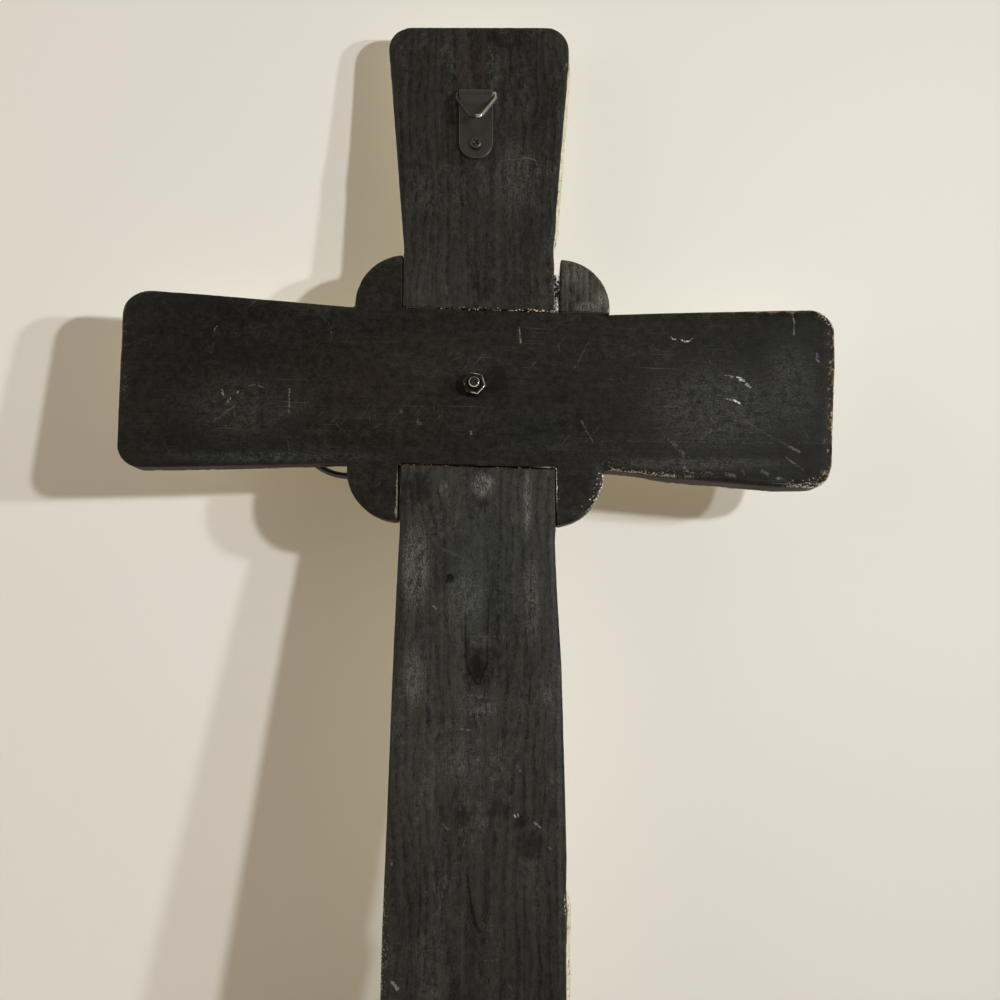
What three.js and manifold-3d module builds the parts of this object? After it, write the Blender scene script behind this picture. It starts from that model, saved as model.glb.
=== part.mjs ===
import * as THREE from 'three';
import { mergeVertices } from 'three/addons/utils/BufferGeometryUtils.js';
import Module from 'manifold-3d';

// A wooden wall cross: two flared boards in a half lap, held by one bolt that also
// carries the bent-rod ornament on the front, with a strap hanger and ring on the back.
// Millimetres, +Z up, +X to the right seen from the back. The back faces -Y.
// The origin is the middle of the foot's end face.

// Boards
const THICKNESS = 18;
const SHAFT_LENGTH = 399;
const UPPER_LENGTH = 211;
const SIDE_LENGTH = 195;
const UPRIGHT_WAIST = 83.6;
const UPPER_END_WIDTH = 106;
const FOOT_WIDTH = 95.2;
const BAR_WAIST = 87;
const SIDE_END_WIDTH = 100;
const END_CORNER_RADIUS = 13;
const ARRIS_WIDTH = 6.5;
const ARRIS_DEPTH = 2.2;
const EAR_RADIUS = 27.9;
const EAR_RISE = 3;
// Where each limb starts to widen, from the crossing, and how soon it gets there: 1 is straight.
const UPPER_FLARE = { start: 80, ease: 1 };
const SIDE_FLARE = { start: 70, ease: 1.2 };
const SHAFT_FLARE = { start: 72, ease: 2.4 };
// The crossbar was fitted a little out of square.
const BAR_TURN = THREE.MathUtils.degToRad(1.7);

// Joint between the boards
const SEAM_GAP = 0.4;
const SLACK_SEAT_GAP = 1.4;
const CORNER_BLOCK_GAP = 1.5;
const FILLER_CLEARANCE = 0.3;
const FILLER_HEIGHT = 21;
const FILLER_DEPTH = 9;
const FILLER_RECESS = 3.5;
const FILLER_RAGGED = 3.5;

// Bolt and nut; the hole was drilled a little off the middle of the crossing
const BOLT_OFFSET = -2;
const BOLT_RISE = 0.8;
const BOLT_DIAMETER = 6.35;
const BOLT_HOLE_CLEARANCE = 0.6;
const BOLT_HEAD_DIAMETER = 15;
const BOLT_HEAD_HEIGHT = 4.2;
const BOLT_HEAD_RIM = 0.8;
const BOLT_NECK_LENGTH = 3;
const BOLT_END_PROUD = 3.4;
const BOLT_END_CHAMFER = 0.8;
const NUT_ACROSS_FLATS = 11.1;
const NUT_HEIGHT = 5.6;
const NUT_CHAMFER = THREE.MathUtils.degToRad(28);
const NUT_FACE_INSET = 0.2;
const NUT_TURN = THREE.MathUtils.degToRad(13);
const THREAD_CLEARANCE = 0.25;
const SEAT_GAP = 0.3;

// Ornament on the front
const ROD_DIAMETER = 3.6;
const SIDE_LOOP_RADIUS = 30;
const SIDE_LOOP_REACH = 72;
const SIDE_LOOP_DROOP = THREE.MathUtils.degToRad(11);
const UPRIGHT_LOOP_RADIUS = 26;
const UPRIGHT_LOOP_REACH = 55;
const ROD_END_RADIUS = 12;
const ORNAMENT_TURN = THREE.MathUtils.degToRad(-2.5);
const ROSETTE_DIAMETER = 52;
const ROSETTE_HEIGHT = 9;
const ROSETTE_SHEET = 1.5;
const ROSETTE_RIM = 6;
const ROSETTE_CROWN_DIAMETER = 18;
const ROSETTE_SWELL = 1.4;
const ROSETTE_HOLE_CLEARANCE = 0.5;

// Strap hanger, its ring and its screw
const STRAP_WIDTH = 19;
const STRAP_LENGTH = 40.3;
const STRAP_SHEET = 0.9;
const STRAP_LEAF_GAP = 0.2;
const STRAP_TOP_BELOW_END = 40.5;
const STRAP_NECK_LENGTH = 7;
const STRAP_OFFSET = -1.7;
const WIRE_DIAMETER = 2.2;
const WIRE_CLEARANCE = 0.3;
const RING_SIDE_CLEARANCE = 0.3;
const RING_SHOULDER = 4.6;
const RING_HEIGHT = 21;
const RING_TIP_WIDTH = 5.2;
const RING_BEND_RADIUS = 2.2;
const RING_LIFT = THREE.MathUtils.degToRad(28);
const SCREW_ABOVE_STRAP_END = 8.3;
const SCREW_HEAD_DIAMETER = 6.8;
const SCREW_HEAD_HEIGHT = 2.3;
const SCREW_HEAD_RIM = 0.6;
const SCREW_DIAMETER = 3.4;
const SCREW_LENGTH = 12.7;
const SCREW_TIP_LENGTH = 4;
const SCREW_HOLE_CLEARANCE = 0.3;
const DRIVE_WIDTH = 3.8;
const DRIVE_BLADE = 0.9;
const DRIVE_DEPTH = 1.4;

// How far a cutting solid runs past what it cuts
const OVERCUT = 1;

// Facets
const CORNER_STEPS = 7;
const FLARE_STEPS = 9;
const EAR_STEPS = 10;
const ARRIS_STEPS = 3;
const HOLE_SIDES = 24;
const ROD_SIDES = 10;
const LOOP_STEPS = 56;
const WIRE_SIDES = 8;
const LATHE_STEPS = 40;

// Places that follow from the sizes
const CROSSING = SHAFT_LENGTH;
const BACK = -THICKNESS / 2;
const FRONT = THICKNESS / 2;
const LAP_PLANE = 0;
const LAP_HALF = BAR_WAIST / 2;
const UPRIGHT_HALF = UPRIGHT_WAIST / 2;
const BOSS_HALF_WIDTH = UPRIGHT_HALF + EAR_RADIUS;
const BOSS_HALF_HEIGHT = LAP_HALF + EAR_RISE + EAR_RADIUS;
const BOLT_Z = CROSSING + BOLT_RISE;
const FAR = SHAFT_LENGTH + UPPER_LENGTH;
const ROD_AXIS = FRONT + SEAT_GAP + ROD_DIAMETER / 2;
const ROSETTE_SEAT = FRONT + ROD_DIAMETER + 2 * SEAT_GAP;
const ROSETTE_CROWN = ROSETTE_SEAT + ROSETTE_HEIGHT;
const EYE_RADIUS = WIRE_DIAMETER / 2 + WIRE_CLEARANCE;
const EYE_AXIS_Y = BACK - SEAT_GAP - STRAP_SHEET - EYE_RADIUS;
const STRAP_TOP = FAR - STRAP_TOP_BELOW_END;
const EYE_AXIS_Z = STRAP_TOP - EYE_RADIUS - STRAP_SHEET;
const STRAP_BOTTOM = STRAP_TOP - STRAP_LENGTH;
const STRAP_FACE = BACK - SEAT_GAP - 2 * STRAP_SHEET - STRAP_LEAF_GAP;
const SCREW_Z = STRAP_BOTTOM + SCREW_ABOVE_STRAP_END;

const wasm = await Module();
wasm.setup();

// Solids and geometries

function toSolid(geometry) {
  const bare = geometry.index ? geometry.clone() : geometry;
  bare.deleteAttribute('normal');
  bare.deleteAttribute('uv');
  const merged = mergeVertices(bare, 1e-4);
  return new wasm.Manifold(
    new wasm.Mesh({
      numProp: 3,
      vertProperties: new Float32Array(merged.attributes.position.array),
      triVerts: new Uint32Array(merged.index.array),
    }),
  );
}

function toGeometry(solid) {
  const { numProp, vertProperties, triVerts } = solid.getMesh();
  const positions = new Float32Array((vertProperties.length / numProp) * 3);
  for (let i = 0; i < positions.length / 3; i += 1) {
    for (let axis = 0; axis < 3; axis += 1) {
      positions[3 * i + axis] = vertProperties[numProp * i + axis];
    }
  }
  const geometry = new THREE.BufferGeometry();
  geometry.setAttribute('position', new THREE.BufferAttribute(positions, 3));
  geometry.setIndex(new THREE.BufferAttribute(new Uint32Array(triVerts), 1));
  const faceted = geometry.toNonIndexed();
  faceted.computeVertexNormals();
  return faceted;
}

function box(low, high) {
  const size = new THREE.Vector3().subVectors(high, low);
  const middle = new THREE.Vector3().addVectors(high, low).multiplyScalar(0.5);
  return new THREE.BoxGeometry(size.x, size.y, size.z).translate(middle.x, middle.y, middle.z);
}

// A cylinder along Y between two depths.
function cylinderAlongY(radius, fromY, toY, x, z, sides = HOLE_SIDES) {
  const geometry = new THREE.CylinderGeometry(radius, radius, toY - fromY, sides);
  return geometry.translate(x, (fromY + toY) / 2, z);
}

// A flat outline in X and Z, made as thick as the boards or any other span of Y.
function slab(outline, fromY, toY, bevel = {}) {
  const { depth: bevelDepth = 0, width: bevelWidth = 0 } = bevel;
  const geometry = new THREE.ExtrudeGeometry(new THREE.Shape(outline), {
    depth: toY - fromY - 2 * bevelDepth,
    steps: 1,
    bevelEnabled: bevelDepth > 0,
    bevelThickness: bevelDepth,
    bevelSize: bevelWidth,
    bevelOffset: -bevelWidth,
    bevelSegments: ARRIS_STEPS,
  });
  // The shape's second axis becomes Z, and its depth runs towards -Y.
  return geometry.rotateX(Math.PI / 2).translate(0, toY - bevelDepth, 0);
}

// Board outlines

// Half of a limb's outline, from the crossing to its end: distance along it, half width.
function limbEdge(length, waist, end, { start, ease }) {
  const points = [new THREE.Vector2(0, waist / 2)];
  const cornerStart = length - END_CORNER_RADIUS;
  for (let i = 0; i <= FLARE_STEPS; i += 1) {
    const along = THREE.MathUtils.lerp(start, cornerStart, i / FLARE_STEPS);
    const share = (along - start) / (length - start);
    const flare = 1 - (1 - share) ** ease;
    points.push(new THREE.Vector2(along, THREE.MathUtils.lerp(waist, end, flare) / 2));
  }
  const edge = points.at(-1).y;
  for (let i = 1; i <= CORNER_STEPS; i += 1) {
    const angle = (i / CORNER_STEPS) * (Math.PI / 2);
    points.push(new THREE.Vector2(
      cornerStart + END_CORNER_RADIUS * Math.sin(angle),
      edge - END_CORNER_RADIUS * (1 - Math.cos(angle)),
    ));
  }
  return points;
}

// The closed outline of a board from the edges of its two limbs, lying along +X.
function boardOutline(farLimb, nearLimb) {
  const mirrored = (points, sx, sy) => points.map((p) => new THREE.Vector2(sx * p.x, sy * p.y));
  return [
    ...mirrored(farLimb, 1, -1),
    ...mirrored(farLimb, 1, 1).reverse().slice(0, -1),
    ...mirrored(nearLimb, -1, 1),
    ...mirrored(nearLimb, -1, -1).reverse().slice(0, -1),
  ];
}

const standUp = (points) => points.map((p) => new THREE.Vector2(-p.y, p.x));

const uprightOutline = standUp(boardOutline(
  limbEdge(UPPER_LENGTH, UPRIGHT_WAIST, UPPER_END_WIDTH, UPPER_FLARE),
  limbEdge(SHAFT_LENGTH, UPRIGHT_WAIST, FOOT_WIDTH, SHAFT_FLARE),
));

// The bar's outline, with a quarter-round ear in each inner corner of the cross.
function barOutline() {
  const edge = limbEdge(SIDE_LENGTH, BAR_WAIST, SIDE_END_WIDTH, SIDE_FLARE);
  const ear = [];
  for (let i = 0; i <= EAR_STEPS; i += 1) {
    const angle = (i / EAR_STEPS) * (Math.PI / 2);
    ear.push(new THREE.Vector2(
      UPRIGHT_HALF + EAR_RADIUS * Math.sin(angle),
      LAP_HALF + EAR_RISE + EAR_RADIUS * Math.cos(angle),
    ));
  }
  const inner = new THREE.Vector2(BOSS_HALF_WIDTH, LAP_HALF);
  const limb = [...ear, inner, ...edge.filter((p) => p.x > BOSS_HALF_WIDTH + OVERCUT)];
  const quarter = (sx, sy) => limb.map((p) => new THREE.Vector2(sx * p.x, sy * p.y));
  return [
    ...quarter(1, -1),
    ...quarter(1, 1).reverse(),
    ...quarter(-1, 1),
    ...quarter(-1, -1).reverse(),
  ];
}

// Moves what is drawn about the crossing to its place, with the crossbar's turn or without.
const atCrossing = (geometry) => geometry.translate(0, 0, CROSSING);
const atBar = (geometry) => atCrossing(geometry.rotateY(BAR_TURN));

const arris = { depth: ARRIS_DEPTH, width: ARRIS_WIDTH };
const boltHole = toSolid(cylinderAlongY(
  BOLT_DIAMETER / 2 + BOLT_HOLE_CLEARANCE, BACK - OVERCUT, FRONT + OVERCUT, BOLT_OFFSET, BOLT_Z,
));
const v3 = (x, y, z) => new THREE.Vector3(x, y, z);

// Everything of the bar and the corner block before they are cut: the boss is still whole.
const barBlank = toSolid(atBar(slab(barOutline(), BACK, FRONT, arris)));

// Upright board: arrises stay square inside the boss, the back half is let out for the bar.
function uprightBoard() {
  const board = toSolid(atCrossing(slab(uprightOutline, BACK, FRONT, arris)));
  const square = toSolid(atCrossing(slab(uprightOutline, BACK, FRONT)));
  const bossBand = toSolid(atBar(box(
    v3(-FAR, BACK - OVERCUT, -BOSS_HALF_HEIGHT), v3(FAR, FRONT + OVERCUT, BOSS_HALF_HEIGHT),
  )));
  const lap = toSolid(atBar(box(
    v3(-FAR, BACK - OVERCUT, -LAP_HALF - SEAM_GAP),
    v3(FAR, LAP_PLANE + SEAT_GAP / 2, LAP_HALF + SEAM_GAP),
  )));
  const screwHole = toSolid(cylinderAlongY(
    SCREW_DIAMETER / 2 + SCREW_HOLE_CLEARANCE, BACK - OVERCUT, STRAP_FACE + SCREW_LENGTH + OVERCUT,
    STRAP_OFFSET, SCREW_Z,
  ));
  return board.add(square.intersect(bossBand)).subtract(lap).subtract(boltHole).subtract(screwHole);
}

// The space that the upright board takes in the bar, grown by the seam on both sides.
function uprightSeat(fromY, band) {
  const grow = (UPRIGHT_HALF + SEAM_GAP) / UPRIGHT_HALF;
  const outline = uprightOutline.map((p) => new THREE.Vector2(p.x * grow, p.y));
  return toSolid(atCrossing(slab(outline, fromY, FRONT + OVERCUT))).intersect(band);
}

function crossbar() {
  const band = (half) => toSolid(atBar(box(
    v3(-FAR, BACK - 2 * OVERCUT, -half), v3(FAR, FRONT + 2 * OVERCUT, half),
  )));
  const lapBand = band(LAP_HALF);
  const outside = band(FAR).subtract(lapBand);
  const pocket = uprightSeat(LAP_PLANE - SEAT_GAP / 2, lapBand);
  const notches = uprightSeat(BACK - OVERCUT, outside);
  const slack = toSolid(atCrossing(box(
    v3(-UPRIGHT_HALF - SLACK_SEAT_GAP, BACK - OVERCUT, -BOSS_HALF_HEIGHT - EAR_RADIUS),
    v3(0, FRONT + OVERCUT, 0),
  ))).intersect(outside);
  const cornerSeat = toSolid(atBar(box(
    v3(0, BACK - OVERCUT, LAP_HALF),
    v3(BOSS_HALF_WIDTH + OVERCUT, FRONT + OVERCUT, BOSS_HALF_HEIGHT + OVERCUT),
  )));
  const cuts = [pocket, notches, slack, cornerSeat, boltHole];
  return cuts.reduce((bar, cut) => bar.subtract(cut), barBlank);
}

// Upper right ear: a block of its own, set along the bar to stand off the upright board.
function cornerBlock() {
  const quarter = barBlank.intersect(toSolid(atBar(box(
    v3(UPRIGHT_HALF, BACK - OVERCUT, LAP_HALF + SEAT_GAP),
    v3(BOSS_HALF_WIDTH + OVERCUT, FRONT + OVERCUT, BOSS_HALF_HEIGHT + OVERCUT),
  ))));
  const alongBar = v3(CORNER_BLOCK_GAP, 0, 0).applyAxisAngle(v3(0, 1, 0), BAR_TURN);
  return quarter.translate(alongBar.toArray());
}

// Filler pressed into the gap beside the corner block, sunk below the back face.
function cornerFiller() {
  const left = UPRIGHT_HALF - LAP_HALF * Math.tan(BAR_TURN) + FILLER_CLEARANCE;
  const right = UPRIGHT_HALF + CORNER_BLOCK_GAP - FILLER_CLEARANCE;
  const foot = LAP_HALF + FILLER_CLEARANCE + SEAT_GAP;
  const outline = [
    new THREE.Vector2(left, foot),
    new THREE.Vector2(right, foot),
    new THREE.Vector2(right, foot + FILLER_HEIGHT - FILLER_RAGGED),
    new THREE.Vector2((left + right) / 2, foot + FILLER_HEIGHT),
    new THREE.Vector2(left, foot + FILLER_HEIGHT - 2 * FILLER_RAGGED),
  ];
  return toSolid(atBar(slab(outline, BACK + FILLER_RECESS, BACK + FILLER_RECESS + FILLER_DEPTH)));
}

// Bolt and nut

// A turned piece from half of its profile: radius, then depth along Y.
function turned(profile, z = BOLT_Z, x = BOLT_OFFSET) {
  const points = profile.map(([radius, y]) => new THREE.Vector2(radius, y));
  return new THREE.LatheGeometry(points, LATHE_STEPS).translate(x, 0, z);
}

function centreBolt() {
  const end = BACK - SEAT_GAP - NUT_HEIGHT - BOLT_END_PROUD;
  const radius = BOLT_DIAMETER / 2;
  const headSeat = ROSETTE_CROWN + SEAT_GAP;
  const head = [];
  const headSteps = 6;
  for (let i = 0; i <= headSteps; i += 1) {
    const angle = (i / headSteps) * (Math.PI / 2);
    head.push([
      (BOLT_HEAD_DIAMETER / 2) * Math.cos(angle),
      headSeat + BOLT_HEAD_RIM + (BOLT_HEAD_HEIGHT - BOLT_HEAD_RIM) * Math.sin(angle),
    ]);
  }
  head.at(-1)[0] = 0;
  const bolt = toSolid(turned([
    [0, end],
    [radius - BOLT_END_CHAMFER, end],
    [radius, end + BOLT_END_CHAMFER],
    [radius, headSeat],
    [BOLT_HEAD_DIAMETER / 2, headSeat],
    ...head,
  ]));
  const neck = toSolid(box(
    v3(BOLT_OFFSET - radius, headSeat - BOLT_NECK_LENGTH, BOLT_Z - radius),
    v3(BOLT_OFFSET + radius, headSeat + BOLT_HEAD_RIM, BOLT_Z + radius),
  ));
  return bolt.add(neck);
}

function hexNut() {
  const circumradius = NUT_ACROSS_FLATS / Math.sqrt(3);
  const near = BACK - SEAT_GAP - NUT_HEIGHT;
  const far = BACK - SEAT_GAP;
  const hexagon = cylinderAlongY(circumradius, near, far, 0, 0, 6).rotateY(NUT_TURN);
  const faceRadius = NUT_ACROSS_FLATS / 2 - NUT_FACE_INSET;
  const drop = (circumradius - faceRadius) * Math.tan(NUT_CHAMFER);
  const chamfer = toSolid(turned([
    [0, near],
    [faceRadius, near],
    [circumradius, near + drop],
    [circumradius, far - drop],
    [faceRadius, far],
    [0, far],
  ]));
  const bore = toSolid(cylinderAlongY(
    BOLT_DIAMETER / 2 + THREAD_CLEARANCE, near - OVERCUT, far + OVERCUT, BOLT_OFFSET, BOLT_Z,
  ));
  return toSolid(hexagon.translate(BOLT_OFFSET, 0, BOLT_Z)).intersect(chamfer).subtract(bore);
}

// Ornament

// A rod loop: a straight leg off the hub, round the far side, and a leg back.
class LoopPath extends THREE.Curve {
  constructor(radius, reach, start) {
    super();
    this.radius = radius;
    this.reach = reach;
    this.start = start;
    this.half = Math.asin(radius / reach);
    this.leg = Math.sqrt(reach ** 2 - radius ** 2) - start;
    this.bow = radius * (Math.PI + 2 * this.half);
  }

  getPoint(t, target = new THREE.Vector3()) {
    const total = 2 * this.leg + this.bow;
    const along = t * total;
    const onLeg = (distance, side) => {
      const out = this.start + distance;
      return target.set(out * Math.cos(this.half), 0, side * out * Math.sin(this.half));
    };
    if (along <= this.leg) {
      return onLeg(along, -1);
    }
    if (along >= this.leg + this.bow) {
      return onLeg(total - along, 1);
    }
    const angle = (along - this.leg) / this.radius - (Math.PI / 2 + this.half);
    return target.set(this.reach + this.radius * Math.cos(angle), 0, this.radius * Math.sin(angle));
  }
}

function circleShape(radius, sides) {
  const points = [];
  for (let i = 0; i < sides; i += 1) {
    const angle = (i / sides) * 2 * Math.PI;
    points.push(new THREE.Vector2(radius * Math.cos(angle), radius * Math.sin(angle)));
  }
  return new THREE.Shape(points);
}

// A loop by its angle about the bolt, clockwise from the right seen from the back.
function rodLoop(radius, reach, angle) {
  const geometry = new THREE.ExtrudeGeometry(circleShape(ROD_DIAMETER / 2, ROD_SIDES), {
    steps: LOOP_STEPS,
    bevelEnabled: false,
    extrudePath: new LoopPath(radius, reach, ROD_END_RADIUS),
  });
  geometry.rotateY(ORNAMENT_TURN + angle);
  return toSolid(geometry.translate(BOLT_OFFSET, ROD_AXIS, BOLT_Z));
}

// Pressed sheet boss: flat rim on the rods, a bead, and a dome up to the bolt's seat.
function rosette() {
  const rim = ROSETTE_DIAMETER / 2;
  const crown = ROSETTE_CROWN_DIAMETER / 2;
  const hole = BOLT_DIAMETER / Math.sqrt(2) + ROSETTE_HOLE_CLEARANCE;
  const domeSteps = 8;
  const dome = [];
  for (let i = 0; i <= domeSteps; i += 1) {
    const share = i / domeSteps;
    const swell = Math.sin(share * (Math.PI / 2)) ** ROSETTE_SWELL;
    dome.push([
      THREE.MathUtils.lerp(rim - ROSETTE_RIM, crown, share),
      ROSETTE_SEAT + (ROSETTE_HEIGHT - ROSETTE_SHEET) * swell,
    ]);
  }
  const inner = [[hole, dome.at(-1)[1]], ...dome.toReversed(), [rim, ROSETTE_SEAT]];
  const outer = inner.toReversed().map(([radius, y]) => [radius, y + ROSETTE_SHEET]);
  return toSolid(turned([...inner, ...outer, inner[0]]));
}

// Strap hanger

// One strip folded round the wire: a back leaf on the board and a front leaf set down on it.
function hangerStrap() {
  const outer = EYE_RADIUS + STRAP_SHEET;
  const faceOut = EYE_AXIS_Y - STRAP_FACE;
  const faceIn = faceOut - STRAP_SHEET;
  const seat = -(EYE_AXIS_Z - STRAP_BOTTOM);
  const foldSteps = 12;
  // The profile's first axis runs away from the board, its second up, both from the eye's axis.
  const fold = (radius) => {
    const points = [];
    for (let i = 0; i <= foldSteps; i += 1) {
      const angle = (i / foldSteps) * Math.PI;
      points.push(new THREE.Vector2(-radius * Math.cos(angle), radius * Math.sin(angle)));
    }
    return points;
  };
  const neck = (radius, level) => {
    const points = [];
    const neckSteps = 6;
    for (let i = 1; i <= neckSteps; i += 1) {
      const share = i / neckSteps;
      const ease = share * share * (3 - 2 * share);
      points.push(new THREE.Vector2(THREE.MathUtils.lerp(radius, level, ease), -STRAP_NECK_LENGTH * share));
    }
    return points;
  };
  const outside = [...fold(outer), ...neck(outer, faceOut)];
  const inside = [...fold(EYE_RADIUS), ...neck(EYE_RADIUS, faceIn)];
  const profile = [
    new THREE.Vector2(-outer, seat),
    ...outside,
    new THREE.Vector2(faceOut, seat),
    new THREE.Vector2(faceIn, seat),
    ...inside.toReversed(),
    new THREE.Vector2(-EYE_RADIUS, seat),
  ];
  const strip = new THREE.ExtrudeGeometry(new THREE.Shape(profile), {
    depth: STRAP_WIDTH,
    steps: 1,
    bevelEnabled: false,
  });
  strip.applyMatrix4(new THREE.Matrix4().makeBasis(v3(0, -1, 0), v3(0, 0, 1), v3(-1, 0, 0)));
  strip.translate(STRAP_OFFSET + STRAP_WIDTH / 2, EYE_AXIS_Y, EYE_AXIS_Z);
  const half = STRAP_WIDTH / 2;
  const outline = [new THREE.Vector2(-half, STRAP_TOP + OVERCUT)];
  const roundSteps = 14;
  for (let i = 0; i <= roundSteps; i += 1) {
    const angle = Math.PI + (i / roundSteps) * Math.PI;
    outline.push(new THREE.Vector2(half * Math.cos(angle), STRAP_BOTTOM + half + half * Math.sin(angle)));
  }
  outline.push(new THREE.Vector2(half, STRAP_TOP + OVERCUT));
  const plan = slab(outline, STRAP_FACE - 2 * outer, BACK).translate(STRAP_OFFSET, 0, 0);
  const hole = cylinderAlongY(
    SCREW_DIAMETER / 2 + SCREW_HOLE_CLEARANCE, STRAP_FACE - OVERCUT, BACK + OVERCUT, STRAP_OFFSET, SCREW_Z,
  );
  return toSolid(strip).intersect(toSolid(plan)).subtract(toSolid(hole));
}

// The ring's centre line: a bar in the strap's eye, square shoulders, and legs to a narrow tip.
function ringPath() {
  const half = STRAP_WIDTH / 2 + RING_SIDE_CLEARANCE + WIRE_DIAMETER / 2;
  const tip = RING_TIP_WIDTH / 2;
  const corners = [
    v3(half, 0, 0),
    v3(half, 0, -RING_SHOULDER),
    v3(tip, 0, -RING_HEIGHT),
    v3(-tip, 0, -RING_HEIGHT),
    v3(-half, 0, -RING_SHOULDER),
    v3(-half, 0, 0),
  ];
  const path = new THREE.CurvePath();
  let last = v3(0, 0, 0);
  corners.forEach((corner, i) => {
    const before = i === 0 ? v3(0, 0, 0) : corners[i - 1];
    const after = i === corners.length - 1 ? v3(0, 0, 0) : corners[i + 1];
    const into = new THREE.Vector3().subVectors(corner, before).normalize();
    const out = new THREE.Vector3().subVectors(after, corner).normalize();
    const bend = into.angleTo(out);
    const trim = RING_BEND_RADIUS * Math.tan(bend / 2);
    const from = corner.clone().addScaledVector(into, -trim);
    const to = corner.clone().addScaledVector(out, trim);
    path.add(new THREE.LineCurve3(last, from));
    path.add(new THREE.QuadraticBezierCurve3(from, corner, to));
    last = to;
  });
  path.add(new THREE.LineCurve3(last, v3(0, 0, 0)));
  return path;
}

// The wire is swept in its own closed frame, so its section meets itself without a twist.
function hangingRing() {
  const path = ringPath();
  const rings = [];
  for (const curve of path.curves) {
    const steps = curve instanceof THREE.LineCurve3 ? 2 : 5;
    for (let i = 0; i < steps; i += 1) {
      rings.push({ point: curve.getPoint(i / steps), along: curve.getTangent(i / steps) });
    }
  }
  const positions = [];
  for (const { point, along } of rings) {
    const side = new THREE.Vector3().crossVectors(along, v3(0, 1, 0)).normalize();
    for (let k = 0; k < WIRE_SIDES; k += 1) {
      const angle = ((k + 0.5) / WIRE_SIDES) * 2 * Math.PI;
      const radius = WIRE_DIAMETER / 2;
      const p = point.clone().addScaledVector(side, radius * Math.cos(angle));
      p.y += radius * Math.sin(angle);
      positions.push(p.x, p.y, p.z);
    }
  }
  const index = [];
  rings.forEach((_, i) => {
    const next = (i + 1) % rings.length;
    for (let k = 0; k < WIRE_SIDES; k += 1) {
      const kNext = (k + 1) % WIRE_SIDES;
      const a = i * WIRE_SIDES + k;
      const b = i * WIRE_SIDES + kNext;
      const c = next * WIRE_SIDES + kNext;
      const d = next * WIRE_SIDES + k;
      index.push(a, c, b, a, d, c);
    }
  });
  const geometry = new THREE.BufferGeometry();
  geometry.setAttribute('position', new THREE.Float32BufferAttribute(positions, 3));
  geometry.setIndex(index);
  geometry.rotateX(-RING_LIFT).translate(STRAP_OFFSET, EYE_AXIS_Y, EYE_AXIS_Z);
  return toSolid(geometry);
}

function strapScrew() {
  const seat = STRAP_FACE - SEAT_GAP;
  const radius = SCREW_DIAMETER / 2;
  const tip = seat + SCREW_LENGTH;
  const headRadius = SCREW_HEAD_DIAMETER / 2;
  const crownSteps = 5;
  const crown = [];
  for (let i = 0; i <= crownSteps; i += 1) {
    const angle = (i / crownSteps) * (Math.PI / 2);
    crown.push([
      headRadius * Math.sin(angle),
      seat - SCREW_HEAD_RIM - (SCREW_HEAD_HEIGHT - SCREW_HEAD_RIM) * Math.cos(angle),
    ]);
  }
  const screw = toSolid(turned([
    ...crown,
    [headRadius, seat],
    [radius, seat],
    [radius, tip - SCREW_TIP_LENGTH],
    [0, tip],
  ], SCREW_Z, STRAP_OFFSET));
  const blade = (sx, sz) => toSolid(box(
    v3(STRAP_OFFSET - sx / 2, seat - SCREW_HEAD_HEIGHT - OVERCUT, SCREW_Z - sz / 2),
    v3(STRAP_OFFSET + sx / 2, seat - SCREW_HEAD_HEIGHT + DRIVE_DEPTH, SCREW_Z + sz / 2),
  ));
  return screw.subtract(blade(DRIVE_WIDTH, DRIVE_BLADE)).subtract(blade(DRIVE_BLADE, DRIVE_WIDTH));
}

// Finishes

const stainedWood = new THREE.MeshStandardMaterial({ color: 0x2b2926, roughness: 0.62, metalness: 0 });
const brownBlock = new THREE.MeshStandardMaterial({ color: 0x35302a, roughness: 0.68, metalness: 0 });
const paleFiller = new THREE.MeshStandardMaterial({ color: 0xb9b3a4, roughness: 0.9, metalness: 0 });
const blackIron = new THREE.MeshStandardMaterial({ color: 0x1c1b1a, roughness: 0.45, metalness: 0.85 });
const blackenedSteel = new THREE.MeshStandardMaterial({ color: 0x2a2a2b, roughness: 0.38, metalness: 0.9 });
const wornSteel = new THREE.MeshStandardMaterial({ color: 0x55534f, roughness: 0.4, metalness: 0.95 });

const part = new THREE.Group();
part.name = 'wooden_cross';

function addPiece(name, solid, material) {
  const mesh = new THREE.Mesh(toGeometry(solid), material);
  mesh.name = name;
  part.add(mesh);
}

addPiece('vertical_board', uprightBoard(), stainedWood);
addPiece('crossbar', crossbar(), stainedWood);
addPiece('corner_block', cornerBlock(), brownBlock);
addPiece('corner_filler', cornerFiller(), paleFiller);
addPiece('centre_bolt', centreBolt(), wornSteel);
addPiece('bolt_nut', hexNut(), wornSteel);
addPiece('rosette', rosette(), blackIron);
addPiece('right_loop', rodLoop(SIDE_LOOP_RADIUS, SIDE_LOOP_REACH, SIDE_LOOP_DROOP), blackIron);
addPiece('upper_loop', rodLoop(UPRIGHT_LOOP_RADIUS, UPRIGHT_LOOP_REACH, -Math.PI / 2), blackIron);
addPiece('left_loop', rodLoop(SIDE_LOOP_RADIUS, SIDE_LOOP_REACH, Math.PI - SIDE_LOOP_DROOP), blackIron);
addPiece('lower_loop', rodLoop(UPRIGHT_LOOP_RADIUS, UPRIGHT_LOOP_REACH, Math.PI / 2), blackIron);
addPiece('hanger_strap', hangerStrap(), blackenedSteel);
addPiece('hanging_ring', hangingRing(), blackenedSteel);
addPiece('strap_screw', strapScrew(), blackenedSteel);

export default part;
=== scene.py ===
import math
import random
from functools import reduce

import bmesh
import bpy
import numpy as np
from mathutils import Matrix, Vector, noise


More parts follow.
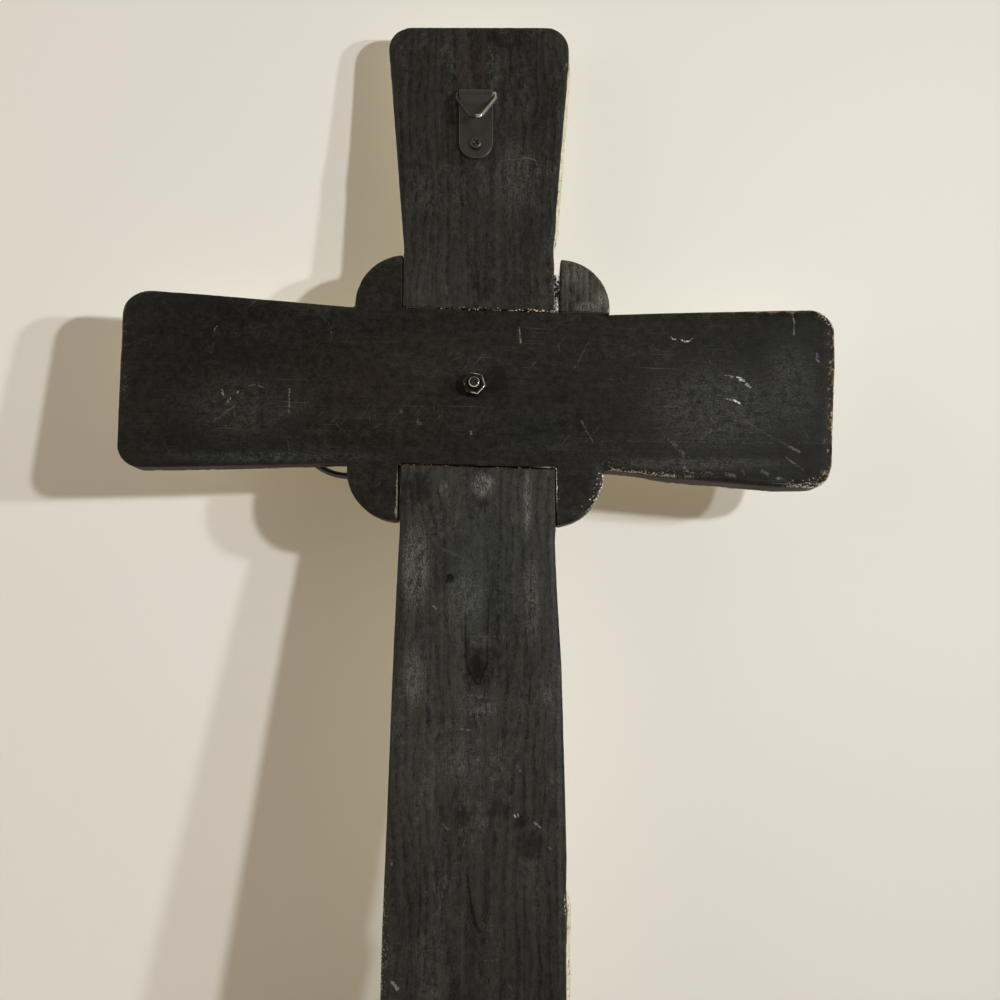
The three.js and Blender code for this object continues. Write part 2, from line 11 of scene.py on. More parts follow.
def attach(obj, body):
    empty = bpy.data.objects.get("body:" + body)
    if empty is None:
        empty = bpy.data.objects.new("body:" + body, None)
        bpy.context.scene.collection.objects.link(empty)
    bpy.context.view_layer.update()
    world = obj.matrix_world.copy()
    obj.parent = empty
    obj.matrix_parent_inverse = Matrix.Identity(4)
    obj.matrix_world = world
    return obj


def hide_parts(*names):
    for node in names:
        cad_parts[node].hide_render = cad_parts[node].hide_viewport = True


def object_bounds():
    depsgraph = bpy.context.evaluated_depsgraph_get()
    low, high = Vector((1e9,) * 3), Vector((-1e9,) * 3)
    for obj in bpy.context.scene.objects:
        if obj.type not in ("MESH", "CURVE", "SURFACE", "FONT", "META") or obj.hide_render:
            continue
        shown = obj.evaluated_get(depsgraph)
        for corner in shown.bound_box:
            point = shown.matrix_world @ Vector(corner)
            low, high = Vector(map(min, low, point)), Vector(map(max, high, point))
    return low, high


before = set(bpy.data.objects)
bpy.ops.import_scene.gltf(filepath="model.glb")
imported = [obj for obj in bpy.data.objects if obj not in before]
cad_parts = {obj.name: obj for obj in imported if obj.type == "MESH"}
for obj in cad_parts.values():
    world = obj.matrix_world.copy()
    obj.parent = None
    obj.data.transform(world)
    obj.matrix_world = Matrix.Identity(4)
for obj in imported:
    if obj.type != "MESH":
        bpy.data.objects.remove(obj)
CAD_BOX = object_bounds()

# The cross, in millimetres: +Z up, +X to the right seen from the back, the back faces -Y.
MM = 0.001
BACK = -9.0
THICKNESS = 18.0
CROSSING = 399.0
BAR_TURN = math.radians(1.7)
LAP_HALF = 43.5
UPRIGHT_HALF = 41.8
BOARD_SEAM = 0.4
EAR_TOP = 77.0
BLOCK_GAP = 1.5
SEAT = 0.3

# The bolt with its nut, and the ornament that it holds on the front
BOLT = (-2.0, 399.8)
BOLT_RADIUS = 3.175
BOLT_PITCH = 1.27
THREAD_DEPTH = 0.55
BOLT_HEAD = 7.5
NUT_FLATS = 11.1
NUT_HEIGHT = 5.6
NUT_TURN = math.radians(13)
NUT_NEAR = BACK - SEAT - NUT_HEIGHT
BOLT_END = NUT_NEAR - 3.4
ROD = 1.8
ROD_Y = 11.1
ROD_START = 12.0
ROSETTE_SEAT = 13.2
ROSETTE_HEIGHT = 9.0
ROSETTE_RIM = 26.0

# The hanger: its strap, the wire ring in the strap's eye and the screw
EYE = (-1.7, -11.6, 567.2)
EYE_RADIUS = 1.4
STRAP_HALF = 9.5
STRAP_SHEET = 0.9
STRAP_BOTTOM = 529.2
STRAP_FOOT = STRAP_BOTTOM - EYE[2]
SCREW_Z = 537.5
SCREW_HEAD = 3.4
WIRE = 1.1

# Round rods lie a hair inside the solids that they stand for.
INSIDE = 0.995

# Camera: where the photograph was taken from, and how far it looks up.
EYE_POINT = Vector((0.0120, -0.5671, 0.2640))
LOOK_UP = math.radians(7.45)
ROLL = math.radians(0.08)
LENS = 37.76


def placed(name, data):
    """A new object of the scene, made of a mesh, a lamp or a camera."""
    piece = bpy.data.objects.new(name, data)
    bpy.context.collection.objects.link(piece)
    return piece


def put_camera():
    camera = placed("camera", bpy.data.cameras.new("camera"))
    camera.data.sensor_width = 36
    camera.data.lens = LENS
    camera.data.clip_start = 0.01
    camera.location = EYE_POINT
    level = Matrix.Rotation(math.pi / 2 + LOOK_UP, 4, "X")
    camera.rotation_euler = (level @ Matrix.Rotation(ROLL, 4, "Z")).to_euler()
    bpy.context.scene.camera = camera


def linear(red, green, blue):
    """A colour given as 0 to 255, in linear light."""
    def channel(value):
        share = value / 255
        return share / 12.92 if share <= 0.04045 else ((share + 0.055) / 1.055) ** 2.4
    return (channel(red), channel(green), channel(blue), 1.0)


class Reading:
    """Something that varies over a surface. Sums on it add Math nodes to its finish."""

    def __init__(self, finish, socket):
        self.finish = finish
        self.socket = socket

    def sum_of(self, operation, *terms, clamp=False):
        settings = {"operation": operation, "use_clamp": clamp}
        return self.finish.node("ShaderNodeMath", settings, dict(enumerate(terms)))

    def __add__(self, other):
        return self.sum_of("ADD", self, other)

    def __radd__(self, other):
        return self.sum_of("ADD", other, self)

    def __sub__(self, other):
        return self.sum_of("SUBTRACT", self, other)

    def __rsub__(self, other):
        return self.sum_of("SUBTRACT", other, self)

    def __mul__(self, other):
        return self.sum_of("MULTIPLY", self, other)

    def __rmul__(self, other):
        return self.sum_of("MULTIPLY", other, self)

    def __truediv__(self, other):
        return self.sum_of("DIVIDE", self, other)

    def __pow__(self, other):
        return self.sum_of("POWER", self, other)

    def __abs__(self):
        return self.sum_of("ABSOLUTE", self)

    def fraction(self):
        return self.sum_of("FRACT", self)

    def held(self):
        """The reading, kept between 0 and 1."""
        return self.sum_of("ADD", self, 0.0, clamp=True)

    def highest(self, other):
        return self.sum_of("MAXIMUM", self, other)

    def rise(self, low, high):
        """0 up to low, 1 from high on, and an easy slope between them."""
        return self.finish.node(
            "ShaderNodeMapRange",
            {"interpolation_type": "SMOOTHSTEP"},
            {"Value": self, "From Min": low, "From Max": high},
        )


def socket_name(key):
    return key.replace("_", " ").title().replace("Ior", "IOR")


class Finish:
    """One procedural material, laid out in millimetres of the cross's own frame."""

    def __init__(self, name, **uniform):
        self.material = bpy.data.materials.new(name)
        self.material.use_nodes = True
        self.tree = self.material.node_tree
        self.tree.nodes.clear()
        self.shader = self.tree.nodes.new("ShaderNodeBsdfPrincipled")
        self.outlet = self.tree.nodes.new("ShaderNodeOutputMaterial")
        self.tree.links.new(self.shader.outputs[0], self.outlet.inputs["Surface"])
        for key, value in uniform.items():
            self.shader.inputs[socket_name(key)].default_value = value
        self.place = self.scaled(self.node("ShaderNodeTexCoord", out="Object"), 1 / MM)
        self.x, self.y, self.z = self.split(self.place)

    def feed(self, socket, value):
        """Links a reading to a socket, or sets a plain value on it."""
        if isinstance(value, Reading):
            self.tree.links.new(value.socket, socket)
        else:
            socket.default_value = value

    def node(self, kind, settings=None, inputs=None, out=0):
        """A node of a type, with its settings, then the values or links of its sockets."""
        made = self.tree.nodes.new(kind)
        for key, value in (settings or {}).items():
            setattr(made, key, value)
        for key, value in (inputs or {}).items():
            self.feed(made.inputs[key], value)
        return Reading(self, made.outputs[out])

    def vectors(self, operation, *terms, out=0):
        """Vector Math on places, directions and lengths."""
        return self.node("ShaderNodeVectorMath", {"operation": operation}, dict(enumerate(terms)), out)

    def scaled(self, vector, factor):
        return self.node("ShaderNodeVectorMath", {"operation": "SCALE"}, {0: vector, "Scale": factor})

    def split(self, vector):
        made = self.node("ShaderNodeSeparateXYZ", None, {0: vector}).socket.node
        return [Reading(self, socket) for socket in made.outputs]

    def stretched(self, x, y, z):
        """The place, divided by a length in millimetres along each axis."""
        return self.vectors("DIVIDE", self.place, (x, y, z))

    def turned(self, angle, centre=(0.0, 0.0, 0.0)):
        """The place, turned in the plane of the boards."""
        return self.node("ShaderNodeVectorRotate", {"rotation_type": "Y_AXIS"},
                         {"Vector": self.place, "Center": centre, "Angle": angle})

    def cloud(self, vector, detail=2.0, roughness=0.5, out=0):
        """Soft noise around 0.5; its Color output holds three such clouds."""
        return self.node(
            "ShaderNodeTexNoise", None,
            {"Vector": vector, "Scale": 1.0, "Detail": detail, "Roughness": roughness}, out,
        )

    def even_cloud(self, size, detail=2.0, roughness=0.5):
        """A cloud whose lumps are about as long as they are wide, in millimetres."""
        return self.cloud(self.stretched(size, size, size), detail, roughness)

    def attribute(self, name):
        return self.node("ShaderNodeAttribute", {"attribute_name": name}, out="Fac")

    def mixed(self, share, under, over):
        return self.node(
            "ShaderNodeMix", {"data_type": "RGBA"}, {0: share, 6: under, 7: over}, out=2
        )

    def shaded(self, colour, factor):
        """A colour made darker or lighter all over its three parts."""
        return self.scaled(colour if isinstance(colour, Reading) else colour[:3], factor)

    def lay(self, **outcome):
        """Feeds the shader: base_color, roughness, metallic, and relief in millimetres."""
        relief = outcome.pop("relief", None)
        if relief is not None:
            bump = {"Height": relief, "Distance": MM, "Strength": 1.0}
            self.feed(self.shader.inputs["Normal"], self.node("ShaderNodeBump", None, bump))
        for key, value in outcome.items():
            self.feed(self.shader.inputs[socket_name(key)], value)
        return self.material


# Wood

STAIN_OLIVE = linear(46, 46, 37)
STAIN_MAROON = linear(49, 43, 41)
STAIN_UMBER = linear(50, 41, 30)
SLATE_STAIN_AND_SHEEN = linear(43, 46, 46)
STAIN_DEEP = linear(14, 13, 12)
RUBBED = linear(112, 108, 100)
DUST_AND_SHEEN = linear(150, 150, 144)
CHALK = linear(205, 203, 196)
BARE = linear(120, 96, 68)
CREAM = linear(222, 214, 188)
GREEN_CREAM = linear(196, 196, 158)
OLIVE = linear(120, 112, 74)
GOLD = linear(176, 152, 104)
RUST = linear(96, 55, 43)
RUST_UMBER = linear(62, 46, 34)
PINK = linear(192, 142, 130)
BROWN = linear(66, 50, 40)
MOSS = linear(78, 72, 50)


# Faint marks are fainter, and strong ones as strong, as their strength from 0 to 1 says.
MARK_CONTRAST = 1.5


def stroke(finish, start, end, width):
    """1 on a straight mark between two points of the back, 0 beside it."""
    across, up = end[0] - start[0], end[1] - start[1]
    length = math.hypot(across, up)
    way, side = (across / length, 0, up / length), (-up / length, 0, across / length)
    middle = ((start[0] + end[0]) / 2, 0, (start[1] + end[1]) / 2)
    inside = []
    for axis, reach in ((way, length / 2), (side, width / 2)):
        place = finish.vectors("DOT_PRODUCT", finish.shaky, axis, out=1)
        centre = sum(m * a for m, a in zip(middle, axis))
        inside.append(place.sum_of("COMPARE", place, centre, reach))
    return inside[0] * inside[1]


def strokes(finish, marks):
    """All of a list of marks: start, end, width in millimetres, strength."""
    return reduce(Reading.highest, (
        stroke(finish, start, end, width) * strength ** MARK_CONTRAST
        for start, end, width, strength in marks
    ))


def smudges(finish, spots, broken):
    """Soft oval patches of the back, broken up by a cloud: centre, half size, strength."""
    ragged = (broken - 0.5) * 1.6
    patches = []
    for (x, z), (wide, high), strength in spots:
        off = finish.vectors("MULTIPLY_ADD", finish.place, (1 / wide, 0, 1 / high),
                             (-x / wide, 0, -z / high))
        off = finish.vectors("LENGTH", off, out=1)
        patches.append((1 - (off + ragged).rise(0.35, 1.0)) * strength)
    return reduce(Reading.highest, patches)


def layered_paint(finish, look, along_grain):
    """Old paint on the edges and the front, in coats that are rubbed through to one another."""
    patch = finish.even_cloud(15)
    small = finish.even_cloud(4.2, detail=3.0, roughness=0.6)
    fine = finish.cloud(along_grain, detail=2.0, roughness=0.6)
    front = finish.y.rise(7.2, 8.2)
    under, over = look["edge_paint"]
    edges = finish.mixed((small * 0.6 + patch * 0.4).rise(0.46, 0.53), under, over)
    faces = finish.mixed(patch.rise(0.35, 0.72), CREAM, finish.mixed(0.30, CREAM, OLIVE))
    faces = finish.shaded(faces, 0.86 + fine * 0.26)
    colour = finish.mixed(front, edges, faces)
    gilt = (patch * 0.35 + small * 0.65).rise(0.565, 0.59) * look["gilt"]
    colour = finish.mixed(gilt, colour, GOLD)
    open_front = front * (1 - patch.rise(0.54, 0.60) * 0.8)
    colour = finish.mixed(small.rise(0.60, 0.63) * (1 - open_front), colour, RUST)
    colour = finish.mixed((1 - small).rise(0.66, 0.69) * 0.7, colour, PINK)
    through = (fine * 0.6 + small * 0.4 + finish.wear * 0.3 - open_front * 0.07).rise(0.60, 0.66)
    worn_wood = finish.shaded(BARE, 0.45 + fine * 0.8)
    return finish.mixed(through, colour, worn_wood), 1 - through


def grain_frame(f, look):
    """Where a point lies along and across the grain, and a way to stretch noise along it."""
    if look["grain"] == "upright":
        return f.z, f.x, lambda width, length: f.stretched(width, width, length)
    tilted = f.turned(-BAR_TURN, (0.0, 0.0, CROSSING))
    along, _, across = f.split(tilted)
    return along, across, lambda width, length: f.vectors("DIVIDE", tilted, (length, width, width))


def growth_rings(f, look, along, across, haze, mottle):
    """1 in the dark latewood of nested flames, where the saw ran near the heart."""
    side = across - look["heart"] + (haze - 0.5) * look["wander"]
    deep = f.y * 0.5 + look["depth"]
    reach = (side * side + deep * deep) ** 0.5
    ring = (reach - (along - look["apex"]) * look["taper"] + (mottle - 0.5) * 2.4) / look["ring"]
    turn = ring.fraction()
    return turn.rise(0.35, 0.78) * (1 - turn.rise(0.82, 0.96))


def hairlines(f, look):
    """Fine scratches that run in several directions, only where a patch allows them."""
    allowed = f.even_cloud(26, detail=1.0)
    hairs = []
    for index, (degrees, length) in enumerate(look["hairs"]):
        thin = f.vectors("DIVIDE", f.turned(math.radians(degrees)), (0.45, 3.0, length))
        rarer = 0.03 * index
        line = f.cloud(thin, detail=1.0).rise(0.66, 0.80)
        hairs.append(line * allowed.rise(0.48 + rarer, 0.62 + rarer))
    return reduce(Reading.highest, hairs)


def shaken(f, size, reach):
    """The place, moved a little here and there, so that a straight mark comes out uneven."""
    shake = f.cloud(f.stretched(size, size, size), detail=3.0, roughness=0.6, out="Color")
    moved = f.vectors("MULTIPLY_ADD", shake, (reach, 0, reach), f.place)
    return f.vectors("SUBTRACT", moved, (reach / 2, 0, reach / 2))


def stained_board(name, look):
    """Black stain over planed softwood, with its grain along the board."""
    f = Finish(name, specular_ior_level=0.12)
    f.wear = f.attribute("wear")
    f.shaky = shaken(f, 1.7, 2.2)
    joint = f.attribute("joint")
    along, across, strip = grain_frame(f, look)
    fibre = f.cloud(strip(0.55, 3.6), detail=2.0, roughness=0.62)
    streak = f.cloud(strip(3.0, 170), detail=4.0, roughness=0.66)
    mottle = f.cloud(strip(*look["mottle"]), detail=6.0, roughness=0.74)
    haze = f.cloud(strip(26, 60))
    hue = f.cloud(strip(8, 17), detail=4.0, roughness=0.6)
    grit = f.cloud(strip(0.9, 1.1), roughness=0.6)
    latewood = growth_rings(f, look, along, across, haze, mottle)

    # The stain: its hues, its knots and dark marks, and painted shade that darkens each board towards
    # its ends
    colour = f.mixed(hue.rise(0.44, 0.62) * look["olive"], look["base"], STAIN_OLIVE)
    colour = f.mixed((1 - hue).rise(0.46, 0.60) * look["maroon"], colour, STAIN_MAROON)
    soft = haze * 0.5 + mottle * 0.5
    # Patches of stain colour; on the crossbar one slate band is painted sheen on the lower bevel
    for tint_and_sheen_colour, centre, size, strength in look["tints_and_sheen"]:
        colour = f.mixed(smudges(f, [(centre, size, strength)], soft), colour, tint_and_sheen_colour)
    # Painted shade: the tone falls away from the board's palest place, towards its ends
    painted_end_shade = abs(along - look["pale_at"]).rise(*look["pale_reach"]) * look["falls"]
    tone = 1 + (fibre - 0.5) + (streak - 0.5) * look["streaks"] + (mottle - 0.5) * look["mottled"]
    tone += (grit - 0.5) * look["grit"] + (haze - 0.5) * look["haze"] - latewood * look["rings"]
    tone *= look["tone"] * (1 - painted_end_shade)
    colour = f.shaded(colour, tone.highest(0.10))
    dark = smudges(f, look["dark_spots"], mottle).highest(strokes(f, look["dark_marks"]))
    colour = f.mixed(dark.held(), colour, STAIN_DEEP)

    # Grey rub and dust in patches, drawn out along the grain and broken into specks, and painted sheen
    # in the listed spots on the crossbar's lower bevels
    speck = ((mottle - 0.5) * 1.7 + (grit - 0.5) * 1.3 + (fibre - 0.5) * 0.8).rise(-0.25, 0.65)
    patches = f.cloud(strip(13, 34), detail=3.0, roughness=0.6).rise(0.48, 0.72) * look["dust"]
    dust_and_sheen = patches.highest(smudges(f, look["dust_and_sheen_spots"], mottle))
    dust_and_sheen = (dust_and_sheen * (0.10 + speck * 1.35)).held()
    colour = f.mixed(dust_and_sheen, colour, DUST_AND_SHEEN)

    # Hairline scratches, and the pale marks, broken where the grain is rough
    broken = ((grit - 0.5) * 2.0 + (mottle - 0.5) * 1.6).rise(-0.34, 0.30)
    marks = strokes(f, look["marks"]) * broken * look["marked"]
    scratched = (hairlines(f, look) * look["scratched"]).highest(marks).held()
    colour = f.mixed(scratched, colour, CHALK)

    # Rubbed arrises: the stain thins to grey, and at the worn end to gold and bare wood
    rub = (f.wear * (1 - joint) * 1.1 + (fibre - 0.5) * 0.9 + (mottle - 0.5) * 1.2).rise(0.30, 1.0)
    colour = f.mixed(rub * look["rub"], colour, RUBBED)
    at_end = along.rise(*look["worn_end"]).highest(smudges(f, look["bare_spots"], mottle))
    bare = (f.wear * (1 - joint) + (mottle - 0.5) * 1.2 + (grit - 0.5) * 0.7).rise(0.16, 0.36) * at_end
    colour = f.mixed(bare * 0.9, colour, f.mixed(hue.rise(0.42, 0.58), GOLD, BARE))
    pale = smudges(f, look["pale_edges"], haze) * (f.wear + (grit - 0.5) * 1.3).rise(0.24, 0.46)
    colour = f.mixed(pale, colour, CREAM)

    # Paint comes round from the front and ends raggedly below the arris of the back
    painted_colour, cover = layered_paint(f, look, strip(0.8, 14))
    side_wood = f.y.rise(-7.0, -5.0) * look["side_bare"] * mottle.rise(0.35, 0.6)
    colour = f.mixed(side_wood, colour, RUST_UMBER)
    ragged = f.cloud(strip(3.0, 9.0), roughness=0.6)
    line = look["paint_line"]
    painted = (f.y + (ragged - 0.5) * 4.0).rise(line, line + 0.35)
    painted = painted * (1 - joint * (1 - f.y.rise(7.5, 8.5)))
    colour = f.mixed(painted, colour, painted_colour)

    rough = 0.58 + (haze - 0.5) * 0.3 + (mottle - 0.5) * 0.35 + dust_and_sheen * 0.25 + painted * 0.15
    relief = (fibre * 0.05 + streak * 0.05 - latewood * 0.03 - scratched * 0.05
              + painted * cover * 0.10 + grit * 0.02 + mottle * 0.05)
    return f.lay(base_color=colour, roughness=(rough + dark * 0.4).held(), relief=relief)


# Marks that can be told apart on the back: start, end, width in millimetres, strength
UPRIGHT_MARKS = [
    ((-9.0, 339.7), (-13.3, 317.3), 0.6, 0.10), ((-19.7, 311.2), (-2.6, 303.2), 1.2, 0.08),
    ((-23.5, 280.6), (-21.6, 278.3), 0.8, 0.30), ((3.7, 290.7), (5.1, 288.8), 0.8, 0.18),
    ((19.2, 291.0), (20.2, 270.4), 0.8, 0.10), ((29.3, 295.7), (29.2, 264.6), 0.8, 0.12),
    ((-7.1, 234.0), (11.3, 231.9), 0.5, 0.10), ((-9.7, 226.8), (12.3, 224.7), 0.5, 0.12),
    ((-6.0, 230.4), (8.1, 228.8), 0.5, 0.08), ((-3.4, 223.2), (7.1, 221.6), 0.5, 0.10),
    ((-8.6, 216.5), (-3.3, 216.0), 0.8, 0.22), ((36.9, 235.0), (37.9, 230.9), 1.6, 0.12),
    ((39.1, 249.0), (45.4, 249.0), 0.5, 0.10), ((-4.6, 264.1), (11.8, 264.6), 0.5, 0.14),
    ((-3.6, 283.6), (2.7, 288.8), 0.6, 0.12), ((0.5, 202.8), (0.9, 199.7), 1.2, 0.25),
    ((-4.9, 207.3), (-1.2, 206.8), 0.7, 0.15), ((21.1, 198.2), (23.2, 194.1), 1.2, 0.16),
    ((19.8, 173.3), (20.4, 171.8), 0.7, 0.7), ((21.2, 173.6), (21.7, 172.0), 0.6, 0.5),
    ((29.8, 169.5), (33.4, 166.5), 1.0, 0.42), ((-17.6, 168.5), (-14.0, 165.5), 1.0, 0.18),
    ((36.5, 157.0), (38.5, 156.0), 0.8, 0.30), ((-43.9, 150.6), (-43.4, 147.6), 0.8, 0.30),
    ((-42.4, 91.0), (-39.3, 87.1), 1.4, 0.40), ((4.2, 101.6), (9.3, 101.1), 0.6, 0.20),
    ((16.3, 90.0), (18.4, 87.6), 0.9, 0.14), ((15.1, 529.1), (25.2, 530.3), 0.6, 0.10),
    ((25.2, 530.9), (31.9, 529.1), 0.7, 0.20), ((48.0, 582.9), (49.8, 587.7), 0.8, 0.25),
    ((12.3, 546.9), (19.0, 538.0), 2.2, 0.05), ((-14.4, 502.7), (-11.0, 476.6), 1.4, 0.05),
    ((4.9, 598.0), (7.8, 588.9), 0.6, 0.10),
]
UPRIGHT_DARK_MARKS = [
    ((-16.1, 292.5), (-16.1, 295.7), 1.3, 1.0), ((-16.1, 295.7), (-14.5, 297.1), 1.3, 1.0),
    ((-14.5, 297.1), (-12.9, 295.4), 1.3, 1.0), ((-12.9, 295.4), (-13.1, 292.8), 1.3, 1.0),
    ((-6.4, 276.7), (-5.5, 249.0), 1.1, 0.80), ((-5.5, 249.0), (0.0, 239.1), 1.3, 0.90),
    ((6.0, 284.6), (5.4, 250.6), 1.0, 0.75), ((5.4, 250.6), (0.8, 239.1), 1.3, 0.90),
    ((-4.6, 143.6), (-2.6, 128.4), 1.3, 0.8), ((-2.6, 128.4), (-0.4, 119.5), 2.0, 0.85),
    ((-0.4, 119.5), (2.2, 114.7), 1.8, 0.8), ((6.4, 144.5), (4.4, 128.0), 1.0, 0.35),
    ((11.3, 149.6), (4.1, 118.6), 0.6, 0.35), ((13.6, 218.0), (13.5, 199.7), 0.6, 0.85),
    ((-25.4, 319.2), (-24.9, 264.6), 0.6, 0.40), ((-42.2, 354.0), (-42.0, 327.0), 0.7, 0.75),
]
BAR_MARKS = [
    ((-145.0, 429.9), (-143.5, 433.2), 0.8, 0.22), ((-146.2, 417.5), (-144.7, 423.1), 0.6, 0.10),
    ((-131.2, 395.1), (-129.9, 396.8), 0.9, 0.35), ((-139.5, 397.4), (-138.3, 394.0), 0.8, 0.32),
    ((-136.5, 390.1), (-134.4, 392.9), 0.8, 0.32), ((-132.4, 388.2), (-144.0, 379.3), 0.5, 0.18),
    ((-124.9, 399.6), (-121.1, 400.4), 0.5, 0.22), ((-120.5, 399.6), (-116.7, 399.0), 0.5, 0.20),
    ((-102.6, 398.5), (-102.6, 384.0), 0.6, 0.26), ((-109.7, 382.4), (-103.3, 386.3), 1.8, 0.07),
    ((-80.5, 430.4), (-80.2, 424.8), 1.0, 0.10), ((-79.1, 424.3), (-43.5, 424.3), 0.5, 0.07),
    ((-90.5, 444.3), (-79.0, 431.0), 0.6, 0.06), ((-42.5, 386.3), (-40.9, 384.6), 1.8, 0.12),
    ((-33.2, 380.2), (-30.5, 378.5), 1.8, 0.14), ((-3.9, 374.7), (-3.4, 372.5), 1.0, 0.28),
    ((-97.1, 374.7), (23.1, 375.2), 0.4, 0.05), ((-102.8, 369.2), (-101.6, 362.6), 0.6, 0.10),
    ((22.7, 432.1), (23.2, 423.7), 0.9, 0.30), ((52.7, 409.6), (60.5, 424.2), 0.5, 0.16),
    ((55.7, 380.7), (62.6, 368.1), 0.5, 0.20), ((58.2, 368.6), (66.5, 378.0), 0.5, 0.12),
    ((97.3, 376.9), (111.0, 360.4), 0.5, 0.12), ((97.2, 369.7), (111.3, 374.1), 0.5, 0.12),
    ((105.2, 427.0), (108.3, 425.7), 0.7, 0.80), ((110.6, 425.6), (113.2, 424.5), 0.6, 0.80),
    ((113.2, 424.5), (115.6, 424.9), 0.7, 0.95), ((115.6, 424.9), (117.6, 426.6), 0.4, 0.55),
    ((133.3, 405.6), (139.4, 404.9), 0.6, 0.40), ((140.6, 404.9), (143.4, 404.0), 1.1, 1.00),
    ((142.0, 403.2), (145.4, 402.9), 1.3, 0.62), ((145.6, 401.4), (148.6, 398.4), 1.5, 0.42),
    ((134.8, 392.9), (138.2, 391.9), 0.7, 0.50), ((138.8, 392.0), (142.4, 390.2), 1.1, 1.00),
    ((130.4, 400.1), (130.4, 387.4), 0.6, 0.10), ((185.0, 418.6), (186.6, 415.8), 0.6, 0.25),
    ((165.0, 361.5), (175.5, 353.3), 0.6, 0.20), ((66.4, 369.2), (190.6, 368.1), 0.3, 0.10),
    ((144.5, 380.7), (161.0, 369.7), 0.5, 0.13), ((120.4, 369.7), (129.3, 378.0), 0.5, 0.12),
    ((153.0, 375.2), (174.2, 363.1), 0.5, 0.13), ((88.5, 396.8), (103.7, 398.5), 0.4, 0.10),
    ((71.6, 360.4), (93.1, 353.3), 0.5, 0.10), ((173.2, 441.5), (173.0, 428.5), 0.7, 0.28),
    ((104.5, 369.5), (111.5, 361.5), 1.8, 0.14), ((168.0, 366.5), (174.2, 362.8), 1.6, 0.22),
    ((185.4, 417.8), (184.6, 414.9), 0.7, 0.30), ((184.6, 414.9), (186.4, 413.2), 0.9, 0.35),
    ((98.5, 351.2), (107.0, 350.0), 1.3, 0.30), ((111.2, 355.4), (113.5, 352.0), 1.9, 0.17),
    ((123.0, 352.8), (126.6, 351.2), 1.3, 0.13), ((133.0, 351.4), (139.0, 350.0), 1.7, 0.18),
    ((142.0, 353.4), (143.6, 350.8), 1.4, 0.14), ((152.5, 353.2), (157.0, 350.8), 1.8, 0.18),
    ((160.5, 349.2), (164.8, 348.4), 1.1, 0.28), ((172.0, 344.8), (184.0, 344.2), 0.8, 0.60),
    ((176.0, 346.6), (183.6, 345.8), 0.6, 0.45),
]

# A look says where the heart of the tree lay and how its rings run (heart, depth, apex, taper, ring,
# wander), how strong each part of the stain is, where along the board its painted end shade leaves it
# palest, and where the named spots are: a centre and a half size on the back, in millimetres, and a
# strength;
# a few tint and dust spots are painted sheen on the lower bevels of the crossbar.
NO_WORN_END = (900, 901)

UPRIGHT_LOOK = {
    "grain": "upright", "base": linear(46, 45, 41), "grit": 1.7, "heart": 0.5, "depth": 24.0,
    "apex": 237.0, "taper": 0.036, "ring": 4.2, "wander": 20.0, "tone": 0.98, "streaks": 1.7,
    "haze": 1.0, "olive": 0.60, "maroon": 0.28, "mottled": 2.6, "rings": 0.34, "dust": 0.09,
    "scratched": 0.05, "rub": 0.10, "paint_line": -5.4, "mottle": (2.8, 4.4), "marked": 1.2,
    "pale_at": 300.0, "pale_reach": (60, 230), "falls": 0.30,
    "pale_edges": [
        ((-47, 112), (4, 40), 0.6), ((-42.4, 342), (1.5, 9), 0.7), ((47, 128), (4, 8), 0.8),
    ],
    "worn_end": NO_WORN_END, "side_bare": 0.0,
    "tints_and_sheen": [
        (SLATE_STAIN_AND_SHEEN, (4, 300), (30, 50), 0.5), (BROWN, (-4, 584), (10, 16), 0.5),
        (STAIN_UMBER, (40, 464), (5, 18), 0.9), (SLATE_STAIN_AND_SHEEN, (-42, 215), (5, 30), 0.7),
    ],
    "edge_paint": (GREEN_CREAM, CREAM), "gilt": 0.4,
    "hairs": [(4, 30), (-28, 22), (52, 16), (88, 18)], "marks": UPRIGHT_MARKS,
    "dark_marks": UPRIGHT_DARK_MARKS,
    "dark_spots": [
        ((-14.5, 295.0), (3.0, 3.4), 0.95), ((-16.6, 297.3), (11, 13), 0.30),
        ((0.1, 249), (5.0, 12), 0.85), ((-7.8, 173), (10, 8), 0.5), ((12.5, 175), (8, 7), 0.45),
        ((28.2, 157), (10, 10), 0.45), ((22.5, 169.5), (6, 5), 0.6), ((16.9, 602), (16, 8), 0.70),
        ((-33, 343), (13, 13), 0.60), ((40, 173), (3, 3), 0.45), ((44, 470), (4, 16), 0.4),
    ],
    "dust_and_sheen_spots": [
        ((2.8, 345), (8.5, 9), 0.62), ((-17.8, 343), (4, 6), 0.22), ((-33, 301), (11, 32), 0.34),
        ((-33, 243), (9, 20), 0.22), ((26.8, 336), (3.2, 26), 0.36), ((29, 284), (7, 36), 0.18),
        ((1.0, 228), (14, 12), 0.16), ((-6, 285), (14, 26), 0.12), ((20, 520), (16, 30), 0.12),
        ((2, 262), (10, 5), 0.12), ((-8, 200), (16, 18), 0.10), ((37, 233), (4, 6), 0.2),
    ],
    "slanted": [(478, 600, 3.4), (-20, 136, 4.4)],
    "nudged": [
        (20, 46, 150, 100, -2.0), (-20, -46, 190, 100, -1.1), (20, 46, 470, 500, -1.0),
        (20, 46, 322, 314, -0.9), (20, 46, 290, 250, 0.9),
    ],
    "bare_spots": [
        ((-49, 135), (1.6, 12), 0.8), ((-46, 98), (2, 10), 0.7), ((-47, 170), (1.2, 8), 0.6),
    ],
}
